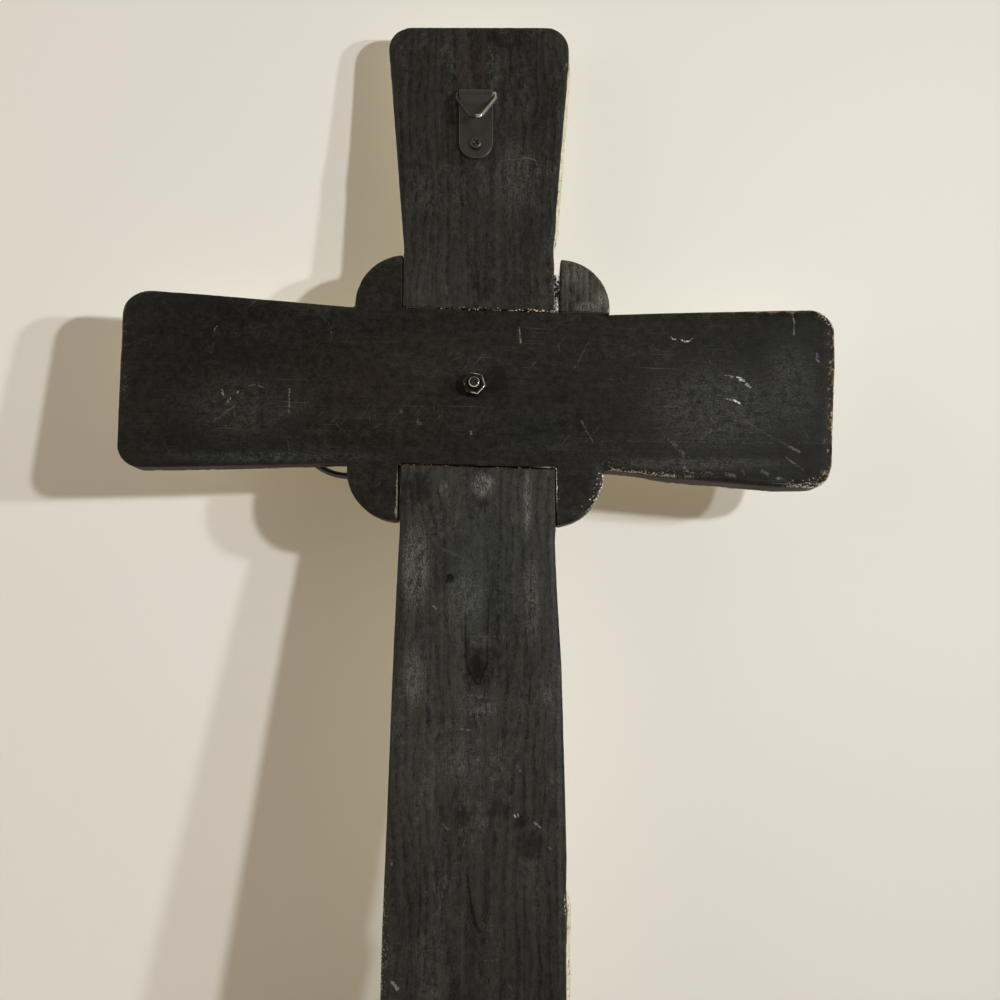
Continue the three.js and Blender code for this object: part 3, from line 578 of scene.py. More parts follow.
BAR_LOOK = {
    "grain": "level", "base": linear(46, 44, 36), "grit": 1.7, "heart": 380.0, "depth": 18.0,
    "apex": -60.0, "taper": 0.02, "ring": 5.5, "wander": 60.0, "tone": 0.38, "streaks": 1.0,
    "haze": 1.0, "olive": 0.7, "maroon": 0.45, "mottled": 4.6, "rings": 0.06, "dust": 0.03,
    "scratched": 0.12, "rub": 0.08, "paint_line": 3.6, "mottle": (4.4, 4.4), "side_bare": 0.8,
    "marked": 1.5,
    "pale_edges": [
        ((60, 345), (26, 24), 1.0), ((-43.3, 340), (2.5, 14), 0.45), ((180, 347), (18, 6), 1.0),
        ((191, 437), (8, 9), 1.0), ((-192, 400), (5, 12), 0.5), ((92, 352), (40, 3), 0.6),
    ],
    "pale_at": 20.0, "pale_reach": (60, 170), "falls": 0.18, "worn_end": (184, 192),
    "tints_and_sheen": [
        # The slate band along the left arm's lower bevel is painted sheen, a bluish light that this
        # edge catches from below
        (STAIN_UMBER, (-55, 398), (60, 36), 0.9), (SLATE_STAIN_AND_SHEEN, (-130, 360.5), (62, 5.5), 0.9),
        (SLATE_STAIN_AND_SHEEN, (30, 372), (22, 14), 0.6),
    ],
    "edge_paint": (CREAM, BROWN), "gilt": 0.5,
    "hairs": [
        (88, 34), (-40, 18), (33, 16), (8, 14), (-62, 20),
    ],
    "marks": BAR_MARKS,
    "dark_marks": [
        ((119.3, 390.0), (119.4, 391.4), 1.2, 1.0), ((119.2, 389), (119.0, 378), 0.5, 0.5),
    ],
    "dark_spots": [
        ((10.5, 403), (9, 15), 0.6), ((-14, 398), (7, 10), 0.5), ((-128, 420), (30, 9), 0.35),
        ((-150, 445), (34, 6), 0.4), ((45, 395), (8, 9), 0.35), ((-160, 372), (20, 12), 0.3),
    ],
    "dust_and_sheen_spots": [
        # The long thin spots at (-110, 360.4) and (120, 357), on the lower bevels of both arms, are
        # painted sheen; the others are dust
        ((143, 379), (14, 9), 0.10), ((-110, 360.4), (80, 4.5), 0.10),
        ((120, 357), (66, 5), 0.16), ((-130, 388), (42, 26), 0.07), ((130, 388), (56, 34), 0.13),
        ((170, 400), (22, 34), 0.12),
    ],
    "bare_spots": [
        ((150, 442), (46, 3), 0.6), ((186, 350), (12, 7), 1.0), ((190, 438), (8, 7), 1.0),
        ((-195, 425), (3, 30), 0.5),
    ],
    "nudged": [
        (-176, -196, 372, 440, -3.0), (172, 196, 412, 352, -2.6),
    ],
    "sagging": [(84, 182, 1.7)],
}
BLOCK_LOOK = {
    "grain": "upright", "base": linear(49, 46, 40), "grit": 1.4, "heart": 150.0, "depth": 60.0,
    "apex": 400.0, "taper": 0.0, "ring": 3.2, "wander": 8.0, "tone": 1.78, "streaks": 3.0,
    "haze": 0.8, "olive": 0.35, "maroon": 0.2, "mottled": 2.2, "rings": 0.3, "dust": 0.10,
    "scratched": 0.02, "rub": 0.10, "paint_line": -5.2, "mottle": (2.6, 5), "marked": 0.9,
    "pale_at": 466.0, "pale_reach": (6, 24), "falls": 0.28,
    "pale_edges": [((72, 444), (3, 5), 0.5)], "worn_end": NO_WORN_END, "side_bare": 0.0,
    "tints_and_sheen": [(STAIN_UMBER, (46, 466), (9, 9), 0.5)], "edge_paint": (BROWN, MOSS), "gilt": 0.3,
    "hairs": [(2, 30)],
    "marks": [
        ((50.0, 450.0), (54.0, 447.0), 1.2, 0.06),
    ],
    "dark_marks": [
        ((45.2, 443.0), (45.4, 466.0), 1.2, 0.7),
    ],
    "dark_spots": [((56, 446), (4, 5), 0.5)],
    "dust_and_sheen_spots": [
        ((53, 463), (9, 8), 0.15), ((60, 444), (10, 5), 0.35), ((68, 448), (5, 7), 0.35),
    ],
    "bare_spots": [((60, 462), (2, 2), 0.2)],
}


def wild(points, size, seed=0):
    """Smooth noise from -1 to 1 at every point, over a length in millimetres along each axis."""
    shift = Vector((seed * 17.3, seed * 5.1, seed * 9.7))
    scale = np.array(size, float)
    return np.array([noise.noise(Vector(p) + shift) for p in points / scale])


def mesh_arrays(mesh):
    count = len(mesh.vertices)
    points = np.empty(count * 3)
    mesh.vertices.foreach_get("co", points)
    normals = np.empty(count * 3)
    mesh.vertices.foreach_get("normal", normals)
    edges = np.empty(len(mesh.edges) * 2, int)
    mesh.edges.foreach_get("vertices", edges)
    return points.reshape(-1, 3) / MM, normals.reshape(-1, 3), edges.reshape(-1, 2)


def gathered(values, edges, count):
    """For every vertex the mean of its neighbours' values."""
    total = np.zeros((count,) + values.shape[1:])
    number = np.zeros(count)
    for a, b in ((0, 1), (1, 0)):
        np.add.at(total, edges[:, a], values[edges[:, b]])
        np.add.at(number, edges[:, a], 1)
    return total / number.reshape((-1,) + (1,) * (values.ndim - 1))


def remeshed(node, name, voxel):
    """A dense even copy of a solid board, ready to be worn."""
    piece = placed(name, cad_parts[node].data.copy())
    piece.data.materials.clear()
    modifier = piece.modifiers.new("even", "REMESH")
    modifier.mode = "VOXEL"
    modifier.voxel_size = voxel * MM
    modifier.adaptivity = 0.0
    return settled(piece)


def settled(piece):
    """The piece with the outcome of its modifiers as its own mesh."""
    bpy.context.view_layer.update()
    depsgraph = bpy.context.evaluated_depsgraph_get()
    mesh = bpy.data.meshes.new_from_object(piece.evaluated_get(depsgraph))
    piece.modifiers.clear()
    piece.data = mesh
    return piece


def dress(piece, material, nodes=(), body="cross", smooth=True):
    """Gives a piece its finish, the body that it rides and the solids that it stands for."""
    piece.data.materials.clear()
    piece.data.materials.append(material)
    piece.data.polygons.foreach_set("use_smooth", [smooth] * len(piece.data.polygons))
    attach(piece, body)
    if nodes:
        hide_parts(*nodes)
    return piece


def keep_attribute(mesh, name, values):
    attribute = mesh.attributes.new(name, "FLOAT", "POINT")
    attribute.data.foreach_set("value", np.asarray(values, np.float32))


def held(values):
    return np.clip(values, 0, 1)


def eased(share):
    """A share from 0 to 1 with an easy start and end."""
    return share * share * (3 - 2 * share)


def band(values, low, high, slope):
    """1 between two limits, with a slope inside each of them."""
    return held((values - low) / slope) * held((high - values) / slope)


def bell(points, centre, size):
    """A soft bump of height 1 over the back, at a place and of a half size in millimetres."""
    off = ((points[:, 0] - centre[0]) / size[0]) ** 2 + ((points[:, 2] - centre[1]) / size[1]) ** 2
    return np.exp(-off)


def in_bar_frame(points):
    """How far points lie along the crossbar and above its middle line."""
    x, z = points[:, 0], points[:, 2] - CROSSING
    return (x * math.cos(BAR_TURN) - z * math.sin(BAR_TURN),
            x * math.sin(BAR_TURN) + z * math.cos(BAR_TURN))


def near_seams(node, points):
    """1 on the faces that the boards turn to each other, 0 from three millimetres away."""
    far_off, clear, reach = 9.0, 1.2, 1.8
    along, up = in_bar_frame(points)
    x = np.abs(points[:, 0])
    if node == "vertical_board":
        off = np.abs(np.abs(up) - LAP_HALF - BOARD_SEAM)
        off = np.where(np.abs(up) < EAR_TOP, np.minimum(off, UPRIGHT_HALF - x), off)
    elif node == "crossbar":
        facing = np.abs(x - UPRIGHT_HALF - 1.0) < 4
        off = np.where(facing, np.abs(x - UPRIGHT_HALF - BOARD_SEAM), far_off)
        off = np.where(x < UPRIGHT_HALF + 3, np.minimum(off, np.abs(np.abs(up) - LAP_HALF)), off)
        corner = (along > LAP_HALF - 3) & (up > 0)
        off = np.where(corner, np.minimum(off, np.abs(up - LAP_HALF)), off)
    else:
        off = np.minimum(along - UPRIGHT_HALF - BLOCK_GAP, up - LAP_HALF - SEAT)
    return 1 - held((off - clear) / reach)


def arris_wear(points, normals, edges):
    """1 on the sharp edges of a mesh, 0 on its flat faces."""
    smoothed = points
    for _ in range(2):
        smoothed = gathered(smoothed, edges, len(points))
    wear = held(((points - smoothed) * normals).sum(1) / 0.33)
    for _ in range(2):
        wear = 0.5 * wear + 0.5 * gathered(wear, edges, len(points))
    return wear


def cut_by_hand(points, normals, look):
    """How deep the sides were cut back by hand, more towards the front than at the back."""
    to_front = (points[:, 1] - BACK) / THICKNESS
    cut = np.zeros(len(points))
    for low, high, reach in look.get("slanted", ()):
        right = held(normals[:, 0] * 1.6) * (points[:, 0] > 30)
        cut += reach * band(points[:, 2], low, high, 12) * right * held(to_front)
    for low, high, reach in look.get("sagging", ()):
        under = held(-normals[:, 2] * 1.6)
        cut += reach * band(points[:, 0], low, high, 20) * under * held(to_front + 0.35)
    return cut


def nudged(points, look):
    """How far to the right a worn stretch of the outline lies from the drawn one."""
    shift = np.zeros(len(points))
    for x_from, x_to, z_from, z_to, by in look.get("nudged", ()):
        share = held((points[:, 0] - x_from) / (x_to - x_from))
        shift += by * share * held((points[:, 2] - z_from) / (z_to - z_from))
    return shift


def worn_board(node, name, look, hollows, seed):
    """A board with its arrises rubbed and nicked and the named hollows cut into its back."""
    fineness, chipping, margin = 0.9, 0.30, 0.02
    piece = remeshed(node, name, fineness)
    mesh = piece.data
    points, normals, edges = mesh_arrays(mesh)
    wear = arris_wear(points, normals, edges)
    joint = near_seams(node, points)
    along = (4, 4, 26) if look["grain"] == "upright" else (26, 4, 4)
    ragged = held(wild(points, (2.6, 2.6, 2.6), seed) * 1.4 + 0.2)
    nicked = held(wild(points, (9, 9, 9), seed + 3) * 2.4 - 0.6)
    drop = wear * (0.04 + chipping * (0.8 * ragged + 1.6 * nicked * (1 - joint)))
    drop += 0.08 * wild(points, (34, 34, 34), seed + 5) + 0.05 * wild(points, along, seed + 7)
    drop -= cut_by_hand(points, normals, look)
    on_back = held(-normals[:, 1] * 2 - 0.6)
    for centre, size, depth in hollows:
        drop += on_back * depth * bell(points, centre, size)
    moved = points - normals * drop[:, None]
    moved[:, 0] += nudged(points, look)
    moved = np.clip(moved, np.array(CAD_BOX[0]) / MM + margin, np.array(CAD_BOX[1]) / MM - margin)
    mesh.vertices.foreach_set("co", (moved * MM).ravel())
    mesh.update()
    keep_attribute(mesh, "wear", wear)
    keep_attribute(mesh, "joint", joint)
    return dress(piece, stained_board(name, look), [node])


# Hollows in the back, by place and half size along and up, and by depth
UPRIGHT_HOLLOWS = [
    ((-14.3, 294.1), (1.5, 1.9), 1.3), ((-12.9, 295.6), (1.1, 1.0), 0.5),
    ((21.1, 171.5), (1.3, 1.3), 0.7), ((25.6, 168.4), (2.4, 1.2), 0.5),
    ((31.4, 167.4), (2.6, 1.1), 0.6), ((0.8, 240.5), (3.6, 7.0), 0.3),
    ((-3.6, 124.0), (1.6, 12.0), 0.35), ((39.1, 173.0), (1.6, 1.4), 0.5),
    ((13.9, 212.0), (0.8, 13.0), 0.3),
]
BAR_HOLLOWS = [
    ((99.1, 442.9), (1.1, 2.4), 2.0), ((173.2, 442.6), (1.1, 2.8), 1.8),
    ((119.3, 390.7), (1.2, 1.2), 0.9), ((-101.6, 390.0), (0.9, 6.5), 0.3),
    ((112.5, 426.4), (5.0, 0.9), 0.25), ((22.6, 425.0), (1.0, 3.4), 0.4),
    ((144.5, 402.8), (1.8, 1.4), 0.3), ((-60.0, 357.5), (2.0, 1.4), 0.6),
    ((48.0, 379.0), (7.0, 5.0), 0.15),
]


def lattice(rows, closed_rows=False):
    """Points and faces of a tube, given as rings of equal length."""
    height, width = len(rows), len(rows[0])
    faces = []
    for i in range(height if closed_rows else height - 1):
        for j in range(width):
            a, b = i * width + j, i * width + (j + 1) % width
            c, d = ((i + 1) % height) * width + (j + 1) % width, ((i + 1) % height) * width + j
            faces.append((a, b, c, d))
    return [point for row in rows for point in row], faces


def solid(name, points, faces, wear=None):
    """A closed mesh from points in millimetres, welded and with its faces turned outward."""
    mesh = bpy.data.meshes.new(name)
    mesh.from_pydata([tuple(c * MM for c in p) for p in points], [], faces)
    if wear is not None:
        keep_attribute(mesh, "wear", wear)
    work = bmesh.new()
    work.from_mesh(mesh)
    bmesh.ops.remove_doubles(work, verts=work.verts, dist=1e-7)
    bmesh.ops.recalc_face_normals(work, faces=work.faces)
    work.to_mesh(mesh)
    work.free()
    return placed(name, mesh)


def end_cap(points, first, width, centre):
    """Closes one end of a lattice with a fan of faces about a new point."""
    points.append(centre)
    return [(first + k, first + (k + 1) % width, len(points) - 1) for k in range(width)]


def swept(name, path, radius, sides=24, closed=False):
    """A round rod along a path that lies in one plane."""
    path = [Vector(p) for p in path]
    count = len(path)
    plane = (path[count // 3] - path[0]).cross(path[2 * count // 3] - path[0]).normalized()
    rows = []
    for i, point in enumerate(path):
        before = path[i - 1] if closed or i else path[0]
        after = path[(i + 1) % count] if closed or i < count - 1 else path[-1]
        out = (after - before).normalized().cross(plane).normalized()
        rows.append([
            point + radius * (out * math.cos(a) + plane * math.sin(a))
            for a in (2 * math.pi * k / sides for k in range(sides))
        ])
    points, faces = lattice(rows, closed_rows=closed)
    if not closed:
        faces += end_cap(points, 0, sides, path[0])
        faces += end_cap(points, (count - 1) * sides, sides, path[-1])
    return solid(name, points, faces)


def turned_piece(name, profile, segments, centre, shape=None, wear=None):
    """A turned piece: radius and depth, with a shape that may change them round the axis."""
    rows = []
    for radius, depth in profile:
        row = []
        for k in range(segments):
            angle = 2 * math.pi * k / segments
            r, y = shape(radius, depth, angle) if shape else (radius, depth)
            row.append((centre[0] + r * math.cos(angle), y, centre[1] + r * math.sin(angle)))
        rows.append(row)
    points, faces = lattice(rows)
    return solid(name, points, faces, [wear(*point) for point in points] if wear else None)


# Metal

def steel(name, dark, bright, paint_share, roughness):
    """Darkened metal that is rubbed bright along its edges and in small specks; where a piece's wear
    attribute carries painted highlight it brightens the same way, and below zero it paints shade.
    """
    f = Finish(name, specular_ior_level=0.5)
    wear = f.attribute("wear")
    mottle = f.even_cloud(1.6, detail=4.0, roughness=0.6)
    fine = f.even_cloud(0.32)
    # rub holds rubbed bare metal, and on the ring and the nut also painted highlight from their wear
    # attribute
    rub = (wear * 1.2 + (mottle - 0.5) * 0.5 + (fine - 0.5) * 0.2).rise(0.55, 1.05)
    colour = f.mixed(rub, f.shaded(dark, 0.7 + mottle * 0.6), bright)
    # Wear below zero paints shade: the colour goes towards black in the screw's recess and the nut's
    # bore
    colour = f.shaded(colour, (1 + wear).held())
    metal = (1 - paint_share) + rub * paint_share
    rough = roughness + (mottle - 0.5) * 0.3 - rub * 0.08
    return f.lay(base_color=colour, metallic=metal, roughness=rough.held(),
                 relief=mottle * 0.03 + fine * 0.008)


def enamel(name):
    """Smooth black enamel on iron, with faint orange peel and a few dull patches."""
    f = Finish(name, specular_ior_level=0.5)
    peel = f.even_cloud(2.2)
    dull = f.even_cloud(14, detail=3.0)
    specks = f.even_cloud(0.9).rise(0.68, 0.74)
    colour = f.mixed(specks * 0.5, f.shaded(linear(20, 19, 18), 0.8 + dull * 0.4), linear(78, 66, 55))
    rough = 0.20 + (dull - 0.5) * 0.22 + specks * 0.25
    return f.lay(base_color=colour, roughness=rough.held(), relief=peel * 0.012 + specks * 0.02)


def make_loop(name, node, radius, reach, angle, finish):
    """One bent rod loop of the ornament: a leg off the hub, round, and back."""
    leg_steps, bow_steps = 14, 72
    half = math.asin(radius / reach)
    leg_end = math.sqrt(reach ** 2 - radius ** 2)
    leg = [ROD_START + (leg_end - ROD_START) * i / leg_steps for i in range(leg_steps)]
    flat = [(out * math.cos(half), -out * math.sin(half)) for out in leg]
    for i in range(bow_steps + 1):
        turn = -(math.pi / 2 + half) + (math.pi + 2 * half) * i / bow_steps
        flat.append((reach + radius * math.cos(turn), radius * math.sin(turn)))
    flat += [(out * math.cos(half), out * math.sin(half)) for out in reversed(leg)]
    path = []
    for out, side in flat:
        x = out * math.cos(angle) + side * math.sin(angle)
        z = -out * math.sin(angle) + side * math.cos(angle)
        path.append((BOLT[0] + x, ROD_Y, BOLT[1] + z))
    return dress(swept(name, path, ROD * INSIDE), finish, [node])


def make_rosette(finish):
    """The domed sheet cap over the rods' ends, with a beaded rim and faint hammer marks."""
    sheet, crown, hole, steps, brim = 1.5, 9.0, 5.0, 24, 6
    dome = []
    for i in range(steps + 1):
        share = i / steps
        lift = (ROSETTE_HEIGHT - sheet) * math.sin(share * math.pi / 2) ** 1.4
        dome.append((ROSETTE_RIM - brim + (crown - ROSETTE_RIM + brim) * share, ROSETTE_SEAT + lift))
    inner = [(hole, dome[-1][1])] + dome[::-1] + [(ROSETTE_RIM - 0.3, ROSETTE_SEAT)]
    outer = [(r, y + sheet) for r, y in reversed(inner)]
    bead = [(ROSETTE_RIM, ROSETTE_SEAT + 0.4), (ROSETTE_RIM, ROSETTE_SEAT + sheet - 0.4)]
    profile = inner + bead + outer + [inner[0]]

    def hammered(radius, depth, angle):
        x, z = radius * math.cos(angle) / 5, radius * math.sin(angle) / 5
        dent = noise.noise(Vector((x, z, depth / 9)))
        outside = depth > ROSETTE_SEAT + sheet
        return radius, depth - 0.12 - 0.12 * dent if outside else depth
    rosette = turned_piece("rosette_boss", profile, 96, BOLT, hammered)
    dress(rosette, finish, ["rosette"])


def make_ornament():
    """Four teardrop loops, the side ones drooping a little, and the rosette over their ends."""
    finish = enamel("black_enamel")
    turn, droop, quarter = math.radians(-2.5), math.radians(11), math.pi / 2
    for name, node, radius, reach, angle in (
        ("right_rod_loop", "right_loop", 30, 72, turn + droop),
        ("upper_rod_loop", "upper_loop", 26, 55, turn - quarter),
        ("left_rod_loop", "left_loop", 30, 72, turn + math.pi - droop),
        ("lower_rod_loop", "lower_loop", 26, 55, turn + quarter),
    ):
        make_loop(name, node, radius, reach, angle, finish)
    make_rosette(finish)


def make_bolt(finish):
    """The carriage bolt: its cut end and rolled thread at the back, its round head in front."""
    end, thread_end, seat = BOLT_END, BACK + 1.0, ROSETTE_SEAT + ROSETTE_HEIGHT + SEAT
    core, head_steps, head_height = BOLT_RADIUS - 0.1, 12, 3.4
    profile = [(0.0, end + 0.25)]
    profile += [(0.28 * i, end + 0.25) for i in range(1, 9)]
    profile += [(BOLT_RADIUS - 0.75 + 0.12 * i, end + 0.12 * i) for i in range(7)]
    y = end + 0.9
    while y < thread_end:
        profile.append((BOLT_RADIUS, y))
        y += BOLT_PITCH / 14
    profile += [(core, thread_end + 1), (core, seat - 3.2), (core, seat - 0.05), (BOLT_HEAD, seat)]
    for i in range(head_steps + 1):
        a = (i / head_steps) * math.pi / 2
        width = BOLT_HEAD * math.cos(a) if i < head_steps else 0.0
        profile.append((width, seat + 0.8 + head_height * math.sin(a)))

    def threaded(radius, y, angle):
        if y < end + 0.3 and radius < BOLT_RADIUS - 0.8:
            spiral = math.sin(2 * math.pi * (radius / 0.62) + angle)
            return radius, end + 0.12 + 0.10 * spiral * min(1, radius / 0.4)
        if radius >= BOLT_RADIUS - 0.01 and y < thread_end:
            phase = (y / BOLT_PITCH - angle / (2 * math.pi)) % 1.0
            cut = THREAD_DEPTH * (1 - abs(2 * phase - 1)) ** 1.2
            lead = min(1.0, max(0.0, (y - end - 0.5) / 1.2))
            return radius - 0.05 - cut - (1 - lead) * 0.45, y
        return radius, y

    def rubbed(x, y, z):
        """Bright on the thread's crests, on the lip of the cut end and about its middle."""
        r = math.hypot(x - BOLT[0], z - BOLT[1])
        if y > end + 1.0:
            crest = max(0.0, (r - BOLT_RADIUS + 0.35) / 0.3) if y < BACK else 0.2
            return min(1.0, crest) * 0.7
        lip = math.exp(-((r - BOLT_RADIUS + 0.55) / 0.30) ** 2)
        return lip + 0.6 * math.exp(-((r - 1.0) / 0.35) ** 2)
    bolt = turned_piece("carriage_bolt", profile, 64, BOLT, threaded, rubbed)
    dress(bolt, finish, ["centre_bolt"])


def nut_edge(angle):
    """How far out the nut's flat or corner lies in a direction."""
    sector = (angle + NUT_TURN) % (math.pi / 3) - math.pi / 6
    return min(NUT_FLATS / 2 / math.cos(sector), NUT_FLATS / math.sqrt(3) - 0.12)


def make_nut(finish):
    """The hexagon nut, chamfered on both faces, rubbed bright on its near rim with painted highlight
    that grows towards the right, and painted shade in its bore.
    """
    face_radius, bore, on_the_flats, steps = NUT_FLATS / 2 - 0.2, BOLT_RADIUS - 0.35, 99.0, 22
    slope = math.tan(math.radians(28))
    far = NUT_NEAR + NUT_HEIGHT
    shares = [0.5 - 0.5 * math.cos(math.pi * i / steps) for i in range(1, steps)]
    profile = [(bore, NUT_NEAR + 0.9), (bore + 0.75, NUT_NEAR + 0.05), (bore + 0.95, NUT_NEAR)]
    profile += [(face_radius - 0.7, NUT_NEAR), (face_radius - 0.25, NUT_NEAR + 0.02)]
    profile += [(on_the_flats, NUT_NEAR + NUT_HEIGHT * share) for share in shares]
    profile += [(face_radius, far), (bore, far), (bore, NUT_NEAR + 0.9)]

    def six_sided(radius, y, angle):
        if radius < on_the_flats:
            return radius, y
        flat = nut_edge(angle)
        chamfer = face_radius + min(y - NUT_NEAR, far - y) / slope
        return min(flat, chamfer) - 0.12 * math.exp(-abs(flat - chamfer) / 0.15), y

    def rubbed(x, y, z):
        out, up = x - BOLT[0], z - BOLT[1]
        r = math.hypot(out, up)
        # Painted shade: wear below zero darkens the bore
        if r <= bore + 1.1:
            return -0.35
        at_corner = max(0.0, (r - NUT_FLATS / 2 - 0.35) / 0.5)
        # The rim is partly rubbed bare metal and partly painted highlight; the 0.05 * out term
        # brightens it towards the right, where the lamps are
        uneven = 0.8 + 0.9 * noise.noise(Vector((x / 2.2, 7.0, z / 2.2))) + 0.05 * out
        at_rim = math.exp(-((r - nut_edge(math.atan2(up, out)) + 0.25) / 0.42) ** 2)
        near_rim = at_rim * max(0.0, 1 - (y - NUT_NEAR) / 2.4) * uneven
        return min(1.0, 0.85 * at_corner + 0.95 * near_rim)
    nut = turned_piece("hexagon_nut", profile, 144, BOLT, six_sided, rubbed)
    dress(nut, finish, ["bolt_nut"])


def strap_line():
    """The middle of the folded sheet from the side: how far out from the eye, and how high."""
    middle = EYE_RADIUS + STRAP_SHEET / 2
    level = -0.3 - STRAP_SHEET / 2
    bend_steps, neck_steps, neck = 24, 12, 7
    rise = [0.02, 0.2, 0.5, 0.9, 1.5, 2.3, 3.3, 4.5, 6.0, 7.6, 9.4, 12, 16, 20, 24, 28]
    line = [(-middle, STRAP_FOOT + r) for r in rise]
    for i in range(bend_steps + 1):
        angle = math.pi * i / bend_steps
        line.append((-middle * math.cos(angle), middle * math.sin(angle)))
    for i in range(1, neck_steps + 1):
        share = i / neck_steps
        line.append((middle + (level - middle) * eased(share), -neck * share))
    return line + [(level, STRAP_FOOT + r) for r in reversed(rise)]


def strap_section(height):
    """The sheet's cross section at a height over its round foot: sideways, and out of the sheet."""
    columns, edge_steps, half_sheet = 22, 8, STRAP_SHEET / 2
    wide = STRAP_HALF
    if height < STRAP_HALF:
        wide = math.sqrt(max(0.02, STRAP_HALF ** 2 - (STRAP_HALF - height) ** 2))
    wide -= 0.02
    flat = max(wide - half_sheet, wide * 0.3)
    across = [-flat + 2 * flat * k / columns for k in range(columns + 1)]
    section = []
    for way in (1, -1):
        section += [(way * x, way * half_sheet) for x in across]
        for k in range(1, edge_steps):
            angle = way * math.pi / 2 - math.pi * k / edge_steps
            section.append((way * flat + (wide - flat) * math.cos(angle), half_sheet * math.sin(angle)))
    return section


def make_strap(finish):
    """The folded steel strap: an eye, two leaves with a round foot, and a screw hole."""
    line = strap_line()
    rows = []
    for i, (out, up) in enumerate(line):
        before, after = line[max(i - 1, 0)], line[min(i + 1, len(line) - 1)]
        run = Vector((after[0] - before[0], after[1] - before[1])).normalized()
        row = []
        for x, off in strap_section(up - STRAP_FOOT):
            sheet_out, sheet_up = out - run[1] * off, up + run[0] * off
            dent = abs(0.07 * noise.noise(Vector((x / 5, sheet_up / 6, sheet_out))))
            row.append((EYE[0] + x, EYE[1] - sheet_out + dent, EYE[2] + sheet_up - dent))
        rows.append(row)
    points, faces = lattice(rows)
    width = len(rows[0])
    for first, ring in ((0, rows[0]), ((len(rows) - 1) * width, rows[-1])):
        centre = tuple(sum(p[axis] for p in ring) / width for axis in range(3))
        faces += end_cap(points, first, width, centre)
    strap = solid("strap_hanger", points, faces)
    hole = turned_piece("strap_hole", [(0.0, -14.0), (2.0, -14.0), (2.0, -7.0), (0.0, -7.0)], 48,
                        (EYE[0], SCREW_Z))
    cut = strap.modifiers.new("screw_hole", "BOOLEAN")
    cut.object = hole
    cut.operation = "DIFFERENCE"
    settled(strap)
    bpy.data.objects.remove(hole)
    wear = []
    for vertex in strap.data.vertices:
        x, y, z = vertex.co / MM
        side = max(0.0, (abs(x - EYE[0]) - STRAP_HALF + 0.9) / 0.9)
        top = max(0.0, (z - EYE[2] - 0.6) / 1.6)
        on_foot = z < STRAP_BOTTOM + 10 and math.hypot(x - EYE[0], z - STRAP_BOTTOM - 9.5) > 8.9
        wear.append(min(1.0, max(0.8 * side, 0.9 * top, 0.54 if on_foot else 0.0)))
    keep_attribute(strap.data, "wear", wear)
    dress(strap, finish, ["hanger_strap"])


def bent_wire(corners, bends, steps=12):
    """A closed path from the middle of its first side, round corners with a bend at each."""
    start = Vector((0, 0, 0))
    path, last = [], start
    for i, corner in enumerate(corners):
        before = corners[i - 1] if i else start
        after = corners[i + 1] if i < len(corners) - 1 else start
        into, out = (corner - before).normalized(), (after - corner).normalized()
        trim = bends[i] * math.tan(into.angle(out) / 2)
        enter, leave = corner - into * trim, corner + out * trim
        path += [last.lerp(enter, k / steps) for k in range(steps)]
        for k in range(steps):
            share = k / steps
            path.append(enter.lerp(corner, share).lerp(corner.lerp(leave, share), share))
        last = leave
    return path + [last.lerp(start, k / steps) for k in range(steps)]


def make_ring(finish):
    """The wire ring: a bar in the strap's eye, square shoulders, legs down to a narrow tip."""
    half = STRAP_HALF + 0.3 + WIRE
    shoulder, height, tip = 4.6, 21.0, 3.0
    bends = [1.15, 2.8, 3.2, 3.2, 2.8, 1.15]
    right = [(half, 0), (half, -shoulder), (tip, -height)]
    corners = [Vector((x, 0, z)) for x, z in right + [(-x, z) for x, z in reversed(right)]]
    lifted = Matrix.Rotation(-math.radians(28), 3, "X")
    place = Vector(EYE)
    path = [lifted @ p + place for p in bent_wire(corners, bends)]
    ring = swept("wire_ring", path, WIRE * INSIDE, closed=True)
    wear = []
    for vertex in ring.data.vertices:
        local = lifted.inverted() @ (vertex.co / MM - place)
        corner = max(0.0, 1 - (Vector((abs(local.x), 0, local.z)) - Vector((half, 0, -0.4))).length / 4)
        foot = max(0.0, 1 - abs(local.z + height) / 3)
        # Painted highlight: the right leg is made brighter than the left, where the lamps on the right
        # catch it; the corners and foot are rubbed
        leg = 0.58 * min(1.0, max(0.0, local.x / 3 + 0.6))
        wear.append(min(1.0, 0.12 + leg + 0.3 * corner + 0.15 * foot))
    keep_attribute(ring.data, "wear", wear)
    dress(ring, finish, ["hanging_ring"], body="ring")


